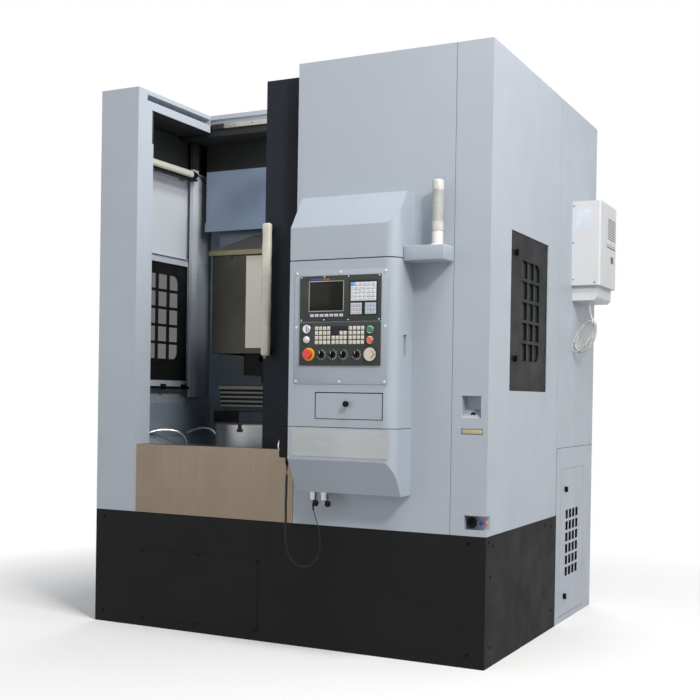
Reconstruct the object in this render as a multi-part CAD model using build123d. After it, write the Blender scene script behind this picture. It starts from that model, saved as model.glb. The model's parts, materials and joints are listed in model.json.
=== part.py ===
from build123d import *
import math
import os

# CNC vertical lathe, millimetres. X to the right, -Y to the front, +Z up.
# The origin is the centre of the footprint, on the floor.

# Overall enclosure
WIDTH = 2270.0
DEPTH = 1850.0
HEIGHT = 2900.0
BASE_HEIGHT = 612.0
SHEET = 3.0
FOLD = 25.0
RUN_GAP = 0.3
LEFT = -WIDTH / 2
RIGHT = WIDTH / 2
FRONT = -DEPTH / 2
REAR = DEPTH / 2

# Doorway, door post, top beam and sill
POST_WIDTH = 250.0
POST_DEPTH = 119.0
JAMB_RETURN = 23.0
POST_RIGHT = LEFT + POST_WIDTH
POST_BACK = FRONT + POST_DEPTH
MAIN_LEFT = 110.0
BEAM_HEIGHT = 100.0
BEAM_BOTTOM = HEIGHT - BEAM_HEIGHT
SIDE_WALL = 35.0
BEAM_SLOT_LOW = 2845.0
BEAM_SLOT_HIGH = 2877.0
BEAM_SLOT_DEPTH = 180.0
LINTEL_FRONT = -255.0
LINTEL_BACK = -175.0
LINTEL_LIP = 25.0
LINTEL_HEIGHT = 120.0
RAIL_LOW = HEIGHT - 80.0
RAIL_HEIGHT = 28.0
RAIL_THICK = 15.0
SILL_TOP = 977.0
SILL_PROUD = 3.0
SILL_TOP_DEPTH = 75.0
SILL_DROP = 50.0
SILL_STEP = 20.0

# Sliding door
DOOR_LEFT = -125.0
DOOR_WIDTH = 1025.0
DOOR_FRONT = -845.0
DOOR_THICK = 24.0
DOOR_BOTTOM = 965.0
DOOR_TOP = HEIGHT - 39.0
COVER_THICK = 12.0
COVER_REAR = LINTEL_FRONT - 7.0
DOOR_TRAVEL = 760.0
CARRIAGE_LENGTH = 120.0
CARRIAGE_DEPTH = 34.0
GLASS_LEFT = 200.0
GLASS_WIDTH = 440.0
GLASS_BOTTOM = 1350.0
GLASS_HEIGHT = 900.0
GLASS_THICK = 10.0
HANDLE_X = DOOR_LEFT + 20.0
HANDLE_WIDTH = 40.0
HANDLE_LOW = 1435.0
HANDLE_HIGH = 2125.0
HANDLE_DEPTH = 24.0
HANDLE_GAP = 34.0
HANDLE_FOOT = 46.0

# Side panels and their window doors
PANEL_BACK = 174.5
STRIP_LEFT = 957.0
STRIP_DEPTH = 60.0
SEAM = 3.0
WINDOW_WIDTH = 600.0
WINDOW_LOW = 1288.0
WINDOW_HEIGHT = 778.0
RIGHT_WINDOW_FRONT = -635.0
LEFT_WINDOW_FRONT = -710.0
WINDOW_RECESS = 5.0
WINDOW_THICK = 12.0
WINDOW_GAP = 1.5
HINGE_GAP = 0.3
PANE_THICK = 4.0
GRID_COLUMNS = 3
GRID_ROWS = 5
GRID_OFFSET = 180.0
GRID_WIDTH = 285.0
GRID_LOW = 152.0
GRID_HEIGHT = 500.0
GRID_BAR = 16.0
GRID_CORNER = 22.0
LEFT_GRID_WIDTH = 305.0
LEFT_GRID_LOW = 169.0
HINGE_RADIUS = 6.0
LATCH_RADIUS = 15.0
LATCH_PROUD = 16.0
LATCH_OFFSET = 85.0
LATCH_LOW = 158.0
LATCH_HIGH = 677.0

# Cabin
CABIN_BACK = 80.0
CABIN_RIGHT = 330.0
TUB_FLOOR = 950.0
TUB_DEPTH = 280.0
TUB_RIM = TUB_FLOOR + TUB_DEPTH
TUB_INSET = 35.0
TUB_SLOPE = 40.0
OPENING_LEFT = -995.0
OPENING_RIGHT = 225.0
APRON_LOW = 2250.0
APRON_FRONT = -42.0
APRON_LIP = 55.0
WIPER_TOP = TUB_RIM - 84.0
WIPER_LOW = TUB_RIM - 140.0

# Spindle and chuck
AXIS_X = -385.0
AXIS_Y = -357.0
CHUCK_RADIUS = 300.0
CHUCK_TOP = 1088.0
CHUCK_HEIGHT = 200.0
CHUCK_CHAMFER = 4.0
CHUCK_BOTTOM = CHUCK_TOP - CHUCK_HEIGHT
NOSE_RADIUS = 160.0
NOSE_HEIGHT = 26.0
SHAFT_RADIUS = 110.0
SHAFT_GAP = 0.05
BORE_RADIUS = 45.0
PILOT_RADIUS = 60.0
PILOT_DEPTH = 20.0
SLOT_NECK = 24.0
SLOT_NECK_DEPTH = 24.0
SLOT_HEAD = 40.0
SLOT_HEAD_DEPTH = 18.0
SLOT_INNER = 85.0
JAW_INNER = 100.0
JAW_LENGTH = 160.0
JAW_GAP = 0.3
JAW_TRAVEL = 10.0
JAW_COUNT = 3
FIRST_SLOT = -90.0
PULLEY_RADIUS = 170.0
PULLEY_LOW = 110.0
PULLEY_HEIGHT = 90.0
PULLEY_GROOVES = 5
MOTOR_RATIO = 0.5
MOTOR_X = 520.0
MOTOR_RADIUS = 150.0
MOTOR_PLATE_LOW = 282.0
MOTOR_PLATE = 22.0
MOTOR_HEIGHT = 280.0
MOTOR_SHAFT = 24.0
BELT_THICK = 8.0

# Bed and column
BED_LEFT = -985.0
BED_RIGHT = 215.0
BED_FRONT = -760.0
BED_BACK = 840.0
BED_HEIGHT = 540.0
BED_WALL = 40.0
BED_DECK = 200.0
FOOT_WIDTH = 70.0
FOOT_HEIGHT = 50.0
ANCHOR_RADIUS = 16.5
ANCHOR_SPACING_X = 1270.0
ANCHOR_SPACING_Y = 1300.0
ANCHOR_Y = 50.0
RIB_HALF = 85.0
HOUSING_RADIUS = 210.0
COLUMN_WIDTH = 900.0
COLUMN_FRONT = 330.0
COLUMN_BACK = 830.0
COLUMN_TOP = HEIGHT - 200.0
COLUMN_POCKETS = 3
COLUMN_RIB = 80.0
COLUMN_WALL = 40.0
Z_RAIL_SPACING = 640.0
Z_RAIL_WIDTH = 45.0
Z_RAIL_THICK = 34.0
SCREW_RADIUS = 25.0
SCREW_Y = 262.0

# Saddle, way cover and tool head
SADDLE_LEFT = -980.0
SADDLE_RIGHT = 210.0
SADDLE_LOW = 1310.0
SADDLE_TOP = 2400.0
SADDLE_PLATE = 20.0
SADDLE_FLANGE = 50.0
SADDLE_CAST_HALF = 400.0
SADDLE_CAST_LOW = 1440.0
SADDLE_CAST_TOP = 2240.0
BLOCK_HEIGHT = 180.0
LEAF_PITCH = 27.0
LEAF_HEIGHT = 122.0
LEAF_COUNT = 5
LEAF_SHEET = 1.5
LEAF_STEP = 4.5
LEAF_LIP = 21.0
LEAF_PAD = 8.0
X_RAIL_LOW = 1560.0
X_RAIL_HIGH = 1800.0
X_RAIL_WIDTH = 35.0
X_RAIL_THICK = 26.0
X_RAIL_LEFT = -678.0
X_RAIL_RIGHT = 204.0
GUARD_LEFT = -684.0
GUARD_WIDTH = 599.0
GUARD_FRONT = -500.0
GUARD_BACK = -58.0
GUARD_LOW = 1480.0
GUARD_HIGH = 2030.0
ROOF_OVERHANG = 16.0
ROOF_EAVE = 26.0
ROOF_RISE = 155.0
CLIP_X = -600.0
COVER_LEFT = -458.0
COVER_LOW = 1510.0
COVER_HIGH = 2022.0
TURRET_X = -370.0
TURRET_SIDE = 240.0
TURRET_LOW = 1360.0
TURRET_TOP = 1478.0
TURRET_HUB = 70.0
TOOL_BORE = 16.0
TOOL_CIRCLE = 82.0
TOOL_DEPTH = 60.0
RADIAL_BORE_Z = 1450.0
NOZZLE_RADIUS = 15.0
NOZZLE_LENGTH = 48.0

# Control housing on the front wall
BOX_LEFT = 190.0
BOX_RIGHT = 750.0
BOX_FRONT = -1120.0
BOX_LOW = 1103.0
BOX_TOP = 1890.0
BOX_CORNER = 60.0
BOX_PIVOT = 20.0
HOOD_LOW = 1895.0
HOOD_SLOPE_LOW = 2050.0
HOOD_TOP = 2210.0
HOOD_LIP = -1015.0
SHROUD_TOP = 1100.0
SHROUD_SLOPE = 945.0
SHROUD_LOW = 785.0
SHROUD_REAR = -1030.0
HINGE_PIN = 8.0
SIDE_SLOT_LOW = 1440.0
SIDE_SLOT_HEIGHT = 100.0
SIDE_SLOT_Y = -1012.0
SIDE_SLOT_WIDTH = 36.0
SIDE_SLOT_DEPTH = 16.0
PLATE_LEFT = 219.0
PLATE_RIGHT = 712.0
PLATE_LOW = 1305.0
PLATE_TOP = 1841.0
PLATE_THICK = 3.0
UNIT_LEFT = 252.0
UNIT_WIDTH = 428.0
UNIT_THICK = 8.0
DISPLAY_LOW = 1601.0
DISPLAY_HEIGHT = 214.0
OPERATOR_LOW = 1392.0
OPERATOR_HEIGHT = 203.0
SCREEN_LEFT = 306.0
SCREEN_LOW = 1650.0
SCREEN_WIDTH = 179.0
SCREEN_HEIGHT = 136.0
KEY_SIZE = 13.0
KEY_RISE = 1.5
DRAWER_LEFT = 339.0
DRAWER_RIGHT = 690.0
DRAWER_LOW = 1143.0
DRAWER_TOP = 1264.0
DRAWER_DEPTH = 165.0
DRAWER_WALL = 2.0
DRAWER_GAP = 1.5
KNOB_X = 510.0
KNOB_Z = 1213.0
KNOB_RADIUS = 14.0

# Controls on the operator unit: places of their centres
ESTOP_X = 305.0
ESTOP_Z = 1445.0
ESTOP_RADIUS = 23.0
COLLAR_RADIUS = 30.0
BUTTON_X = 628.0
START_Z = 1559.0
STOP_Z = 1511.0
BUTTON_RADIUS = 14.0
BEZEL_RADIUS = 17.5
KEY_X = 292.0
KEY_Z = 1565.0
LAMP_Z = 1514.0
SELECTOR_XS = (372.0, 431.0, 488.0, 558.0)
SELECTOR_Z = 1444.0
SELECTOR_RADIUS = 15.0
DIAL_X = 633.0
DIAL_RADIUS = 31.0
STEM_RADIUS = 6.0
STEM_GAP = 0.08
STEM_DEPTH = 7.0
BUTTON_TRAVEL = 4.0
ESTOP_TRAVEL = 6.0

# Signal bracket and lamp
BRACKET_LEFT = 752.0
BRACKET_RIGHT = 955.0
BRACKET_FRONT = -1047.0
BRACKET_LOW = 1880.0
BRACKET_TOP = 1950.0
LAMP_X = 895.0
LAMP_Y = -985.0
LAMP_RADIUS = 28.0
LAMP_COUNT = 3
LAMP_TOP = 2257.0

# Hand pendant and its cord
PENDANT_LEFT = 134.0
PENDANT_RIGHT = 178.0
PENDANT_FRONT = -1105.0
PENDANT_BACK = -1025.0
PENDANT_LOW = 948.0
PENDANT_TOP = 1098.0
WHEEL_RADIUS = 27.0
WHEEL_PROUD = 16.0
WHEEL_Z = 1005.0
CORD_RADIUS = 7.0
CONNECTOR_RADIUS = 14.0
CONNECTOR_X = 268.0
CONNECTOR_Y = -1000.0
SPARE_X = 328.0

# Electric cabinet and lower cabinet
CABINET_LEFT = 520.0
CABINET_FRONT = 175.0
CABINET_LOW = 980.0
CABINET_DOOR = 25.0
LOWER_FRONT = 190.0
LOWER_SIDE = RIGHT
LOWER_DOOR_FRONT = 270.0
LOWER_DOOR_BACK = 745.0
LOWER_DOOR_LOW = 36.0
LOWER_DOOR_TOP = 861.0
SOCKET_RISE = 28.0
SOCKET_WIDTH = 109.0
SOCKET_HEIGHT = 67.0
LOUVRE_COLUMNS = 4
LOUVRE_ROWS = 6
LOUVRE_FRONT = 375.0
LOUVRE_WIDTH = 270.0
LOUVRE_LOW = 250.0
LOUVRE_HEIGHT = 390.0
LOUVRE_SLOT = 50.0
LOUVRE_LENGTH = 48.0

# Cooling unit and its drain hose
COOLER_FRONT = 415.0
COOLER_BACK = 780.0
COOLER_LOW = 1900.0
COOLER_TOP = 2375.0
COOLER_DEPTH = 163.0
TRAY_LOW = 1816.0
TRAY_INSET = 22.0
HOSE_RADIUS = 5.0
HOSE_X = 1228.0
HOSE_Y = 470.0
COIL_TOP = 1716.0
COIL_LOW = 1505.0
COIL_HALF_WIDTH = 68.0
COIL_THICK = 56.0
COIL_X = 1212.0

# Work lamp on the left cabin wall
WORKLAMP_X = -1062.0
WORKLAMP_Z = HEIGHT - 323.0
WORKLAMP_RADIUS = 24.0
WORKLAMP_FRONT = -640.0
WORKLAMP_BACK = -165.0

os.makedirs("parts", exist_ok=True)


def block(x0, x1, y0, y1, z0, z1):
    """Return a box between two corners."""
    size = Box(x1 - x0, y1 - y0, z1 - z0, align=(Align.MIN, Align.MIN, Align.MIN))
    return Pos(x0, y0, z0) * size


def rod(x, y, z0, z1, radius):
    """Return an upright cylinder."""
    size = Cylinder(radius, z1 - z0, align=(Align.CENTER, Align.CENTER, Align.MIN))
    return Pos(x, y, z0) * size


def rod_y(x, z, y0, y1, radius):
    """Return a cylinder along Y from y0 to y1."""
    size = Cylinder(radius, y1 - y0, align=(Align.CENTER, Align.CENTER, Align.MIN))
    return Pos(x, y0, z) * Rot(-90, 0, 0) * size


def rod_x(y, z, x0, x1, radius):
    """Return a cylinder along X from x0 to x1."""
    size = Cylinder(radius, x1 - x0, align=(Align.CENTER, Align.CENTER, Align.MIN))
    return Pos(x0, y, z) * Rot(0, 90, 0) * size


def pan(x0, x1, y0, y1, z0, z1, open_side):
    """Return a folded sheet panel: a skin with its edges turned in, open on one side."""
    grow = {"+x": (1, 0, 0), "-x": (-1, 0, 0), "+y": (0, 1, 0), "-y": (0, -1, 0), "-z": (0, 0, -1)}
    dx, dy, dz = grow[open_side]
    low = [x0 + SHEET, y0 + SHEET, z0 + SHEET]
    high = [x1 - SHEET, y1 - SHEET, z1 - SHEET]
    for index, sign in enumerate((dx, dy, dz)):
        if sign > 0:
            high[index] += 2 * SHEET
        if sign < 0:
            low[index] -= 2 * SHEET
    inner = block(low[0], high[0], low[1], high[1], low[2], high[2])
    return block(x0, x1, y0, y1, z0, z1) - inner


def extrude_yz(points, x0, x1):
    """Return a prism along X with its outline given as (y, z) points."""
    wire = Polyline([(x0, y, z) for y, z in points], close=True)
    return extrude(make_face(wire), amount=x1 - x0, dir=(1, 0, 0))


def extrude_xz(points, y0, y1):
    """Return a prism along Y with its outline given as (x, z) points."""
    wire = Polyline([(x, y0, z) for x, z in points], close=True)
    return extrude(make_face(wire), amount=y1 - y0, dir=(0, 1, 0))


def save(name, *pieces):
    """Write one node, made of one solid or of a group of solids."""
    solids = []
    for piece in pieces:
        solids.extend(piece.solids())
    shape = solids[0] if len(solids) == 1 else Compound(children=solids)
    export_step(shape, f"parts/{name}.step")


# Bed casting with spindle housing, ribbed from below
def bed_casting():
    """Return the bed: deck, walls, ribs, foot flanges and the spindle housing."""
    body = block(BED_LEFT, BED_RIGHT, BED_FRONT, BED_BACK, 0, BED_HEIGHT)
    roof = BED_HEIGHT - BED_DECK
    inner_left = BED_LEFT + BED_WALL
    inner_right = BED_RIGHT - BED_WALL
    body -= block(inner_left, inner_right, BED_FRONT + BED_WALL, -RIB_HALF, 0, roof)
    rear_low, rear_high = RIB_HALF, BED_BACK - BED_WALL
    body -= block(inner_left, AXIS_X - BED_WALL, rear_low, rear_high, 0, roof)
    body -= block(AXIS_X + BED_WALL, inner_right, rear_low, rear_high, 0, roof)
    feet_left = block(BED_LEFT - FOOT_WIDTH, BED_LEFT, BED_FRONT, BED_BACK, 0, FOOT_HEIGHT)
    feet_right = block(BED_RIGHT, BED_RIGHT + FOOT_WIDTH, BED_FRONT, BED_BACK, 0, FOOT_HEIGHT)
    body += [feet_left, feet_right]
    centre_x = (BED_LEFT + BED_RIGHT) / 2
    for sx in (-1, 1):
        for sy in (-1, 1):
            x = centre_x + sx * ANCHOR_SPACING_X / 2
            y = ANCHOR_Y + sy * ANCHOR_SPACING_Y / 2
            body -= rod(x, y, -1, FOOT_HEIGHT + 1, ANCHOR_RADIUS)
    body += rod(AXIS_X, AXIS_Y, BED_HEIGHT, CHUCK_BOTTOM - NOSE_HEIGHT - RUN_GAP, HOUSING_RADIUS)
    body -= rod(AXIS_X, AXIS_Y, roof - 1, CHUCK_BOTTOM, SHAFT_RADIUS)
    belt_half = PULLEY_RADIUS + BELT_THICK + 30
    belt_top = PULLEY_LOW + PULLEY_HEIGHT + 50
    body -= block(inner_right - 1, BED_RIGHT + 1, AXIS_Y - belt_half, AXIS_Y + belt_half,
                  FOOT_HEIGHT, belt_top)
    return body


# Dark base skirt: four folded panels and the front service plate
def base_skirt():
    """Return the four skirt panels; the front one carries the service plate."""
    front = pan(LEFT, RIGHT, FRONT, FRONT + FOLD, 0, BASE_HEIGHT, "+y")
    front += block(-820, -90, FRONT - SHEET, FRONT, 50, 414)
    left = pan(LEFT, LEFT + FOLD, FRONT + FOLD, REAR, 0, BASE_HEIGHT, "+x")
    right = pan(RIGHT - FOLD, RIGHT, FRONT + FOLD, LOWER_FRONT, 0, BASE_HEIGHT, "-x")
    rear = pan(LEFT + FOLD, CABINET_LEFT, REAR - FOLD, REAR, 0, BASE_HEIGHT, "-y")
    return front, left, right, rear


def left_pillar():
    """Return the door post and, butted to it, the top beam with its slot for the door cover."""
    post = block(LEFT, POST_RIGHT, FRONT, POST_BACK, BASE_HEIGHT, HEIGHT)
    post -= block(LEFT + SHEET, POST_RIGHT - SHEET, FRONT + SHEET, POST_BACK - SHEET,
                  BASE_HEIGHT - 1, HEIGHT + 1)
    post += block(POST_RIGHT - 14, POST_RIGHT - 8, POST_BACK, POST_BACK + JAMB_RETURN,
                  BASE_HEIGHT, BEAM_BOTTOM)
    post += block(POST_RIGHT, POST_RIGHT + SILL_STEP, FRONT, FRONT + SILL_TOP_DEPTH - 5,
                  BASE_HEIGHT, SILL_TOP)
    beam_left = LEFT + SIDE_WALL
    beam = block(beam_left, POST_RIGHT, POST_BACK, LINTEL_FRONT, BEAM_BOTTOM, HEIGHT)
    beam -= block(POST_RIGHT - BEAM_SLOT_DEPTH, POST_RIGHT + 1, DOOR_FRONT - 1, LINTEL_FRONT - 5,
                  BEAM_SLOT_LOW, BEAM_SLOT_HIGH)
    slot_in_post = block(POST_RIGHT - BEAM_SLOT_DEPTH, POST_RIGHT + 1, DOOR_FRONT - 5, POST_BACK + 1,
                         BEAM_SLOT_LOW, BEAM_SLOT_HIGH)
    return post - slot_in_post, beam


def rear_lintel():
    """Return the lintel across the back of the loading opening, and its door rail."""
    left = LEFT + SIDE_WALL
    right = RIGHT - SIDE_WALL
    beam = block(left, right, LINTEL_FRONT, LINTEL_BACK, HEIGHT - LINTEL_HEIGHT, HEIGHT)
    beam -= block(left - 1, right + 1, LINTEL_FRONT - 1, LINTEL_FRONT + RAIL_THICK,
                  HEIGHT - LINTEL_HEIGHT - 1, HEIGHT - LINTEL_LIP)
    rail = block(POST_RIGHT + 15, right - 40, LINTEL_FRONT, LINTEL_FRONT + RAIL_THICK,
                 RAIL_LOW, RAIL_LOW + RAIL_HEIGHT)
    count = 16
    step = (rail.bounding_box().size.X - 60) / (count - 1)
    for index in range(count):
        rail -= rod_y(POST_RIGHT + 45 + index * step, RAIL_LOW + RAIL_HEIGHT / 2,
                      LINTEL_FRONT - 1, LINTEL_FRONT + 7, 5)
    return beam, rail


def cabin_walls():
    """Return rear strips beside the saddle, the right wall, the upper apron and the wiper."""
    wall_low = TUB_RIM
    top = HEIGHT - LINTEL_HEIGHT
    left_strip = pan(LEFT + SIDE_WALL, OPENING_LEFT, CABIN_BACK, CABIN_BACK + FOLD,
                     BASE_HEIGHT, HEIGHT - FOLD, "+y")
    right_strip = pan(OPENING_RIGHT, CABIN_RIGHT + FOLD, CABIN_BACK, CABIN_BACK + FOLD,
                      BASE_HEIGHT, HEIGHT - FOLD, "+y")
    right_wall = pan(CABIN_RIGHT, CABIN_RIGHT + FOLD, DOOR_FRONT + DOOR_THICK + 12, CABIN_BACK,
                     wall_low, top, "+x")
    apron = block(OPENING_LEFT - 60, CABIN_RIGHT, APRON_FRONT, APRON_FRONT + SHEET, APRON_LOW, top)
    apron += block(OPENING_LEFT - 60, CABIN_RIGHT, APRON_FRONT - 12, APRON_FRONT,
                   APRON_LOW, APRON_LOW + APRON_LIP)
    apron += block(OPENING_LEFT - 60, CABIN_RIGHT, APRON_FRONT + SHEET, CABIN_BACK,
                   top - SHEET, top)
    apron += block(OPENING_LEFT - 60, CABIN_RIGHT, LINTEL_BACK, APRON_FRONT, top - SHEET, top)
    post = pan(LEFT + SIDE_WALL, LEFT + SIDE_WALL + 22, -150, -95, TUB_RIM, top, "-x")
    return left_strip, right_strip, right_wall, apron, post


def window_opening(front, x0, x1):
    """Return the cutter of a side panel's window opening."""
    return block(x0 - 1, x1 + 1, front, front + WINDOW_WIDTH, WINDOW_LOW, WINDOW_LOW + WINDOW_HEIGHT)


def window_frame(front, x0, x1, ledge_x0, ledge_x1):
    """Return the turned-in edge round a window opening, with the ledge the door closes on."""
    out = block(x0, x1, front - SHEET, front + WINDOW_WIDTH + SHEET,
                WINDOW_LOW - SHEET, WINDOW_LOW + WINDOW_HEIGHT + SHEET)
    out -= window_opening(front, x0, x1)
    ledge = block(ledge_x0, ledge_x1, front, front + WINDOW_WIDTH,
                  WINDOW_LOW, WINDOW_LOW + WINDOW_HEIGHT)
    ledge -= block(ledge_x0 - 1, ledge_x1 + 1, front + 40, front + WINDOW_WIDTH - 40,
                   WINDOW_LOW + 40, WINDOW_LOW + WINDOW_HEIGHT - 40)
    return out + ledge


def left_side_panel():
    """Return the left side panel with its window opening."""
    inner = LEFT + SIDE_WALL
    body = pan(LEFT, inner, POST_BACK, REAR, BASE_HEIGHT, HEIGHT, "+x")
    body -= window_opening(LEFT_WINDOW_FRONT, LEFT, inner)
    ledge_x = LEFT + WINDOW_RECESS + WINDOW_THICK + PANE_THICK + 1
    body += window_frame(LEFT_WINDOW_FRONT, LEFT, inner, ledge_x, ledge_x + SHEET)
    return body


def right_side_panel():
    """Return the right side panel with its window opening."""
    body = pan(RIGHT - SIDE_WALL, RIGHT, FRONT + STRIP_DEPTH, PANEL_BACK, BASE_HEIGHT, HEIGHT, "-x")
    body -= window_opening(RIGHT_WINDOW_FRONT, RIGHT - SIDE_WALL, RIGHT)
    ledge_x = RIGHT - WINDOW_RECESS - WINDOW_THICK - PANE_THICK - 1
    body += window_frame(RIGHT_WINDOW_FRONT, RIGHT - SIDE_WALL, RIGHT, ledge_x - SHEET, ledge_x)
    return body


def splash_sill():
    """Return the stainless sill: front skin, top return and inner drop."""
    left, right = POST_RIGHT + SILL_STEP, MAIN_LEFT
    front = FRONT - SILL_PROUD
    body = block(left, right, front, front + SHEET, BASE_HEIGHT, SILL_TOP)
    back = FRONT + SILL_TOP_DEPTH
    body += block(left, right, front, back, SILL_TOP - SHEET, SILL_TOP)
    body += block(left, right, back - SHEET, back, SILL_TOP - SILL_DROP, SILL_TOP)
    body += block(left, right, FRONT, back - 20, BASE_HEIGHT, BASE_HEIGHT + SHEET)
    return body


def recess(x0, x1, z0, z1, depth):
    """Return the walls and the cutter of a recess let into the utility strip."""
    outer = block(x0 - SHEET, x1 + SHEET, FRONT, FRONT + depth, z0 - SHEET, z1 + SHEET)
    hollow = block(x0, x1, FRONT - 1, FRONT + depth - SHEET, z0, z1)
    return outer, hollow


def main_front_panel():
    """Return the main front panel and the utility strip with its recesses."""
    panel = pan(MAIN_LEFT, STRIP_LEFT - SEAM, FRONT, FRONT + FOLD, BASE_HEIGHT, HEIGHT, "+y")
    strip = pan(STRIP_LEFT, RIGHT, FRONT, FRONT + STRIP_DEPTH, BASE_HEIGHT, HEIGHT, "+y")
    strip += block(STRIP_LEFT - SEAM, STRIP_LEFT, FRONT + 4, FRONT + FOLD, BASE_HEIGHT, HEIGHT)
    for x0, x1, z0, z1, depth in ((1006, 1100, 1158, 1260, 58), (1003, 1111, 1081, 1108, 30)):
        outer, hollow = recess(x0, x1, z0, z1, depth)
        strip = strip + outer - hollow
    floor = [(FRONT + 4, 1158), (FRONT + 55, 1158), (FRONT + 55, 1196)]
    strip += extrude_yz(floor, 1006, 1100)
    corner_low = BASE_HEIGHT + SOCKET_RISE
    corner_left = RIGHT - SOCKET_WIDTH
    middle = corner_low + SOCKET_HEIGHT / 2
    strip += block(corner_left - SHEET, RIGHT, FRONT, FRONT + 52, corner_low - SHEET,
                   corner_low + SOCKET_HEIGHT + SHEET)
    strip -= block(corner_left, RIGHT + 1, FRONT - 1, FRONT + 49, corner_low, corner_low + SOCKET_HEIGHT)
    socket_x = corner_left + 32
    strip += rod_y(socket_x, middle, FRONT + 20, FRONT + 49, 26)
    strip -= rod_y(socket_x, middle, FRONT + 19, FRONT + 34, 19)
    strip += rod_y(socket_x + 42, middle - 4, FRONT + 30, FRONT + 49, 8)
    strip += rod_y(socket_x + 61, middle, FRONT + 30, FRONT + 49, 8)
    return panel, strip


def roof_and_rear():
    """Return the roof panels and the rear panels."""
    low = HEIGHT - FOLD
    over_pocket = pan(MAIN_LEFT, RIGHT - SIDE_WALL, FRONT + STRIP_DEPTH, LINTEL_FRONT, low, HEIGHT, "-z")
    rear_left = pan(LEFT + SIDE_WALL, CABINET_LEFT, LINTEL_BACK, REAR - FOLD, low, HEIGHT, "-z")
    rear_right = pan(CABINET_LEFT, RIGHT - SIDE_WALL, LINTEL_BACK, CABINET_FRONT, low, HEIGHT, "-z")
    rear = pan(LEFT + SIDE_WALL, CABINET_LEFT, REAR - FOLD, REAR, BASE_HEIGHT, HEIGHT, "-y")
    return over_pocket, rear_left, rear_right, rear


def cabin_tub():
    """Return the chip tub round the chuck: floor, sloped skirts, walls and sloped rim."""
    left = LEFT + SIDE_WALL
    inner = left + TUB_INSET
    back = CABIN_BACK - TUB_INSET
    right = CABIN_RIGHT
    front = FRONT + SILL_TOP_DEPTH + 3
    floor = block(inner, right - TUB_INSET, front, back, TUB_FLOOR - SHEET, TUB_FLOOR)
    floor -= block(left, POST_RIGHT, front - 1, POST_BACK + JAMB_RETURN, TUB_FLOOR - 10, TUB_FLOOR + 1)
    low_rim = TUB_RIM - TUB_INSET
    side = [(inner - SHEET, TUB_FLOOR - SHEET), (inner + TUB_SLOPE, TUB_FLOOR - SHEET),
            (inner, TUB_FLOOR + TUB_SLOPE), (inner, low_rim), (left, TUB_RIM), (left, TUB_RIM - 4),
            (inner - SHEET, low_rim - 1)]
    shift = left + right
    left_wall = extrude_xz(side, POST_BACK + JAMB_RETURN, CABIN_BACK)
    right_wall = extrude_xz([(shift - x, z) for x, z in side], DOOR_FRONT + DOOR_THICK + 12, CABIN_BACK)
    rear_profile = [(back + (inner - x), z) for x, z in side]
    rear_wall = extrude_yz(rear_profile, left, right)
    notch = block(OPENING_LEFT + 8, OPENING_RIGHT - 8, back - 60, CABIN_BACK + 1, WIPER_LOW, TUB_RIM + 1)
    rear_wall -= notch
    wiper = block(OPENING_LEFT + 8, OPENING_RIGHT - 8, -30, -16, WIPER_LOW - 12, WIPER_TOP)
    wiper += block(OPENING_LEFT + 8, OPENING_RIGHT - 8, -16, back, WIPER_LOW - 12, WIPER_LOW)
    chuck_hole = rod(AXIS_X, AXIS_Y, TUB_FLOOR - 50, TUB_FLOOR + 60, CHUCK_RADIUS + 8)
    rear_wall = rear_wall - left_wall - right_wall - chuck_hole
    wiper -= rear_wall
    floor = floor - left_wall - right_wall - rear_wall - chuck_hole
    legs = []
    for x in (BED_LEFT + 60, BED_RIGHT - 60):
        for y in (BED_FRONT + 60, -120):
            legs.append(block(x - 20, x + 20, y - 20, y + 20, BED_HEIGHT, TUB_FLOOR - SHEET))
    return floor, left_wall, right_wall, rear_wall, wiper, legs


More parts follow.
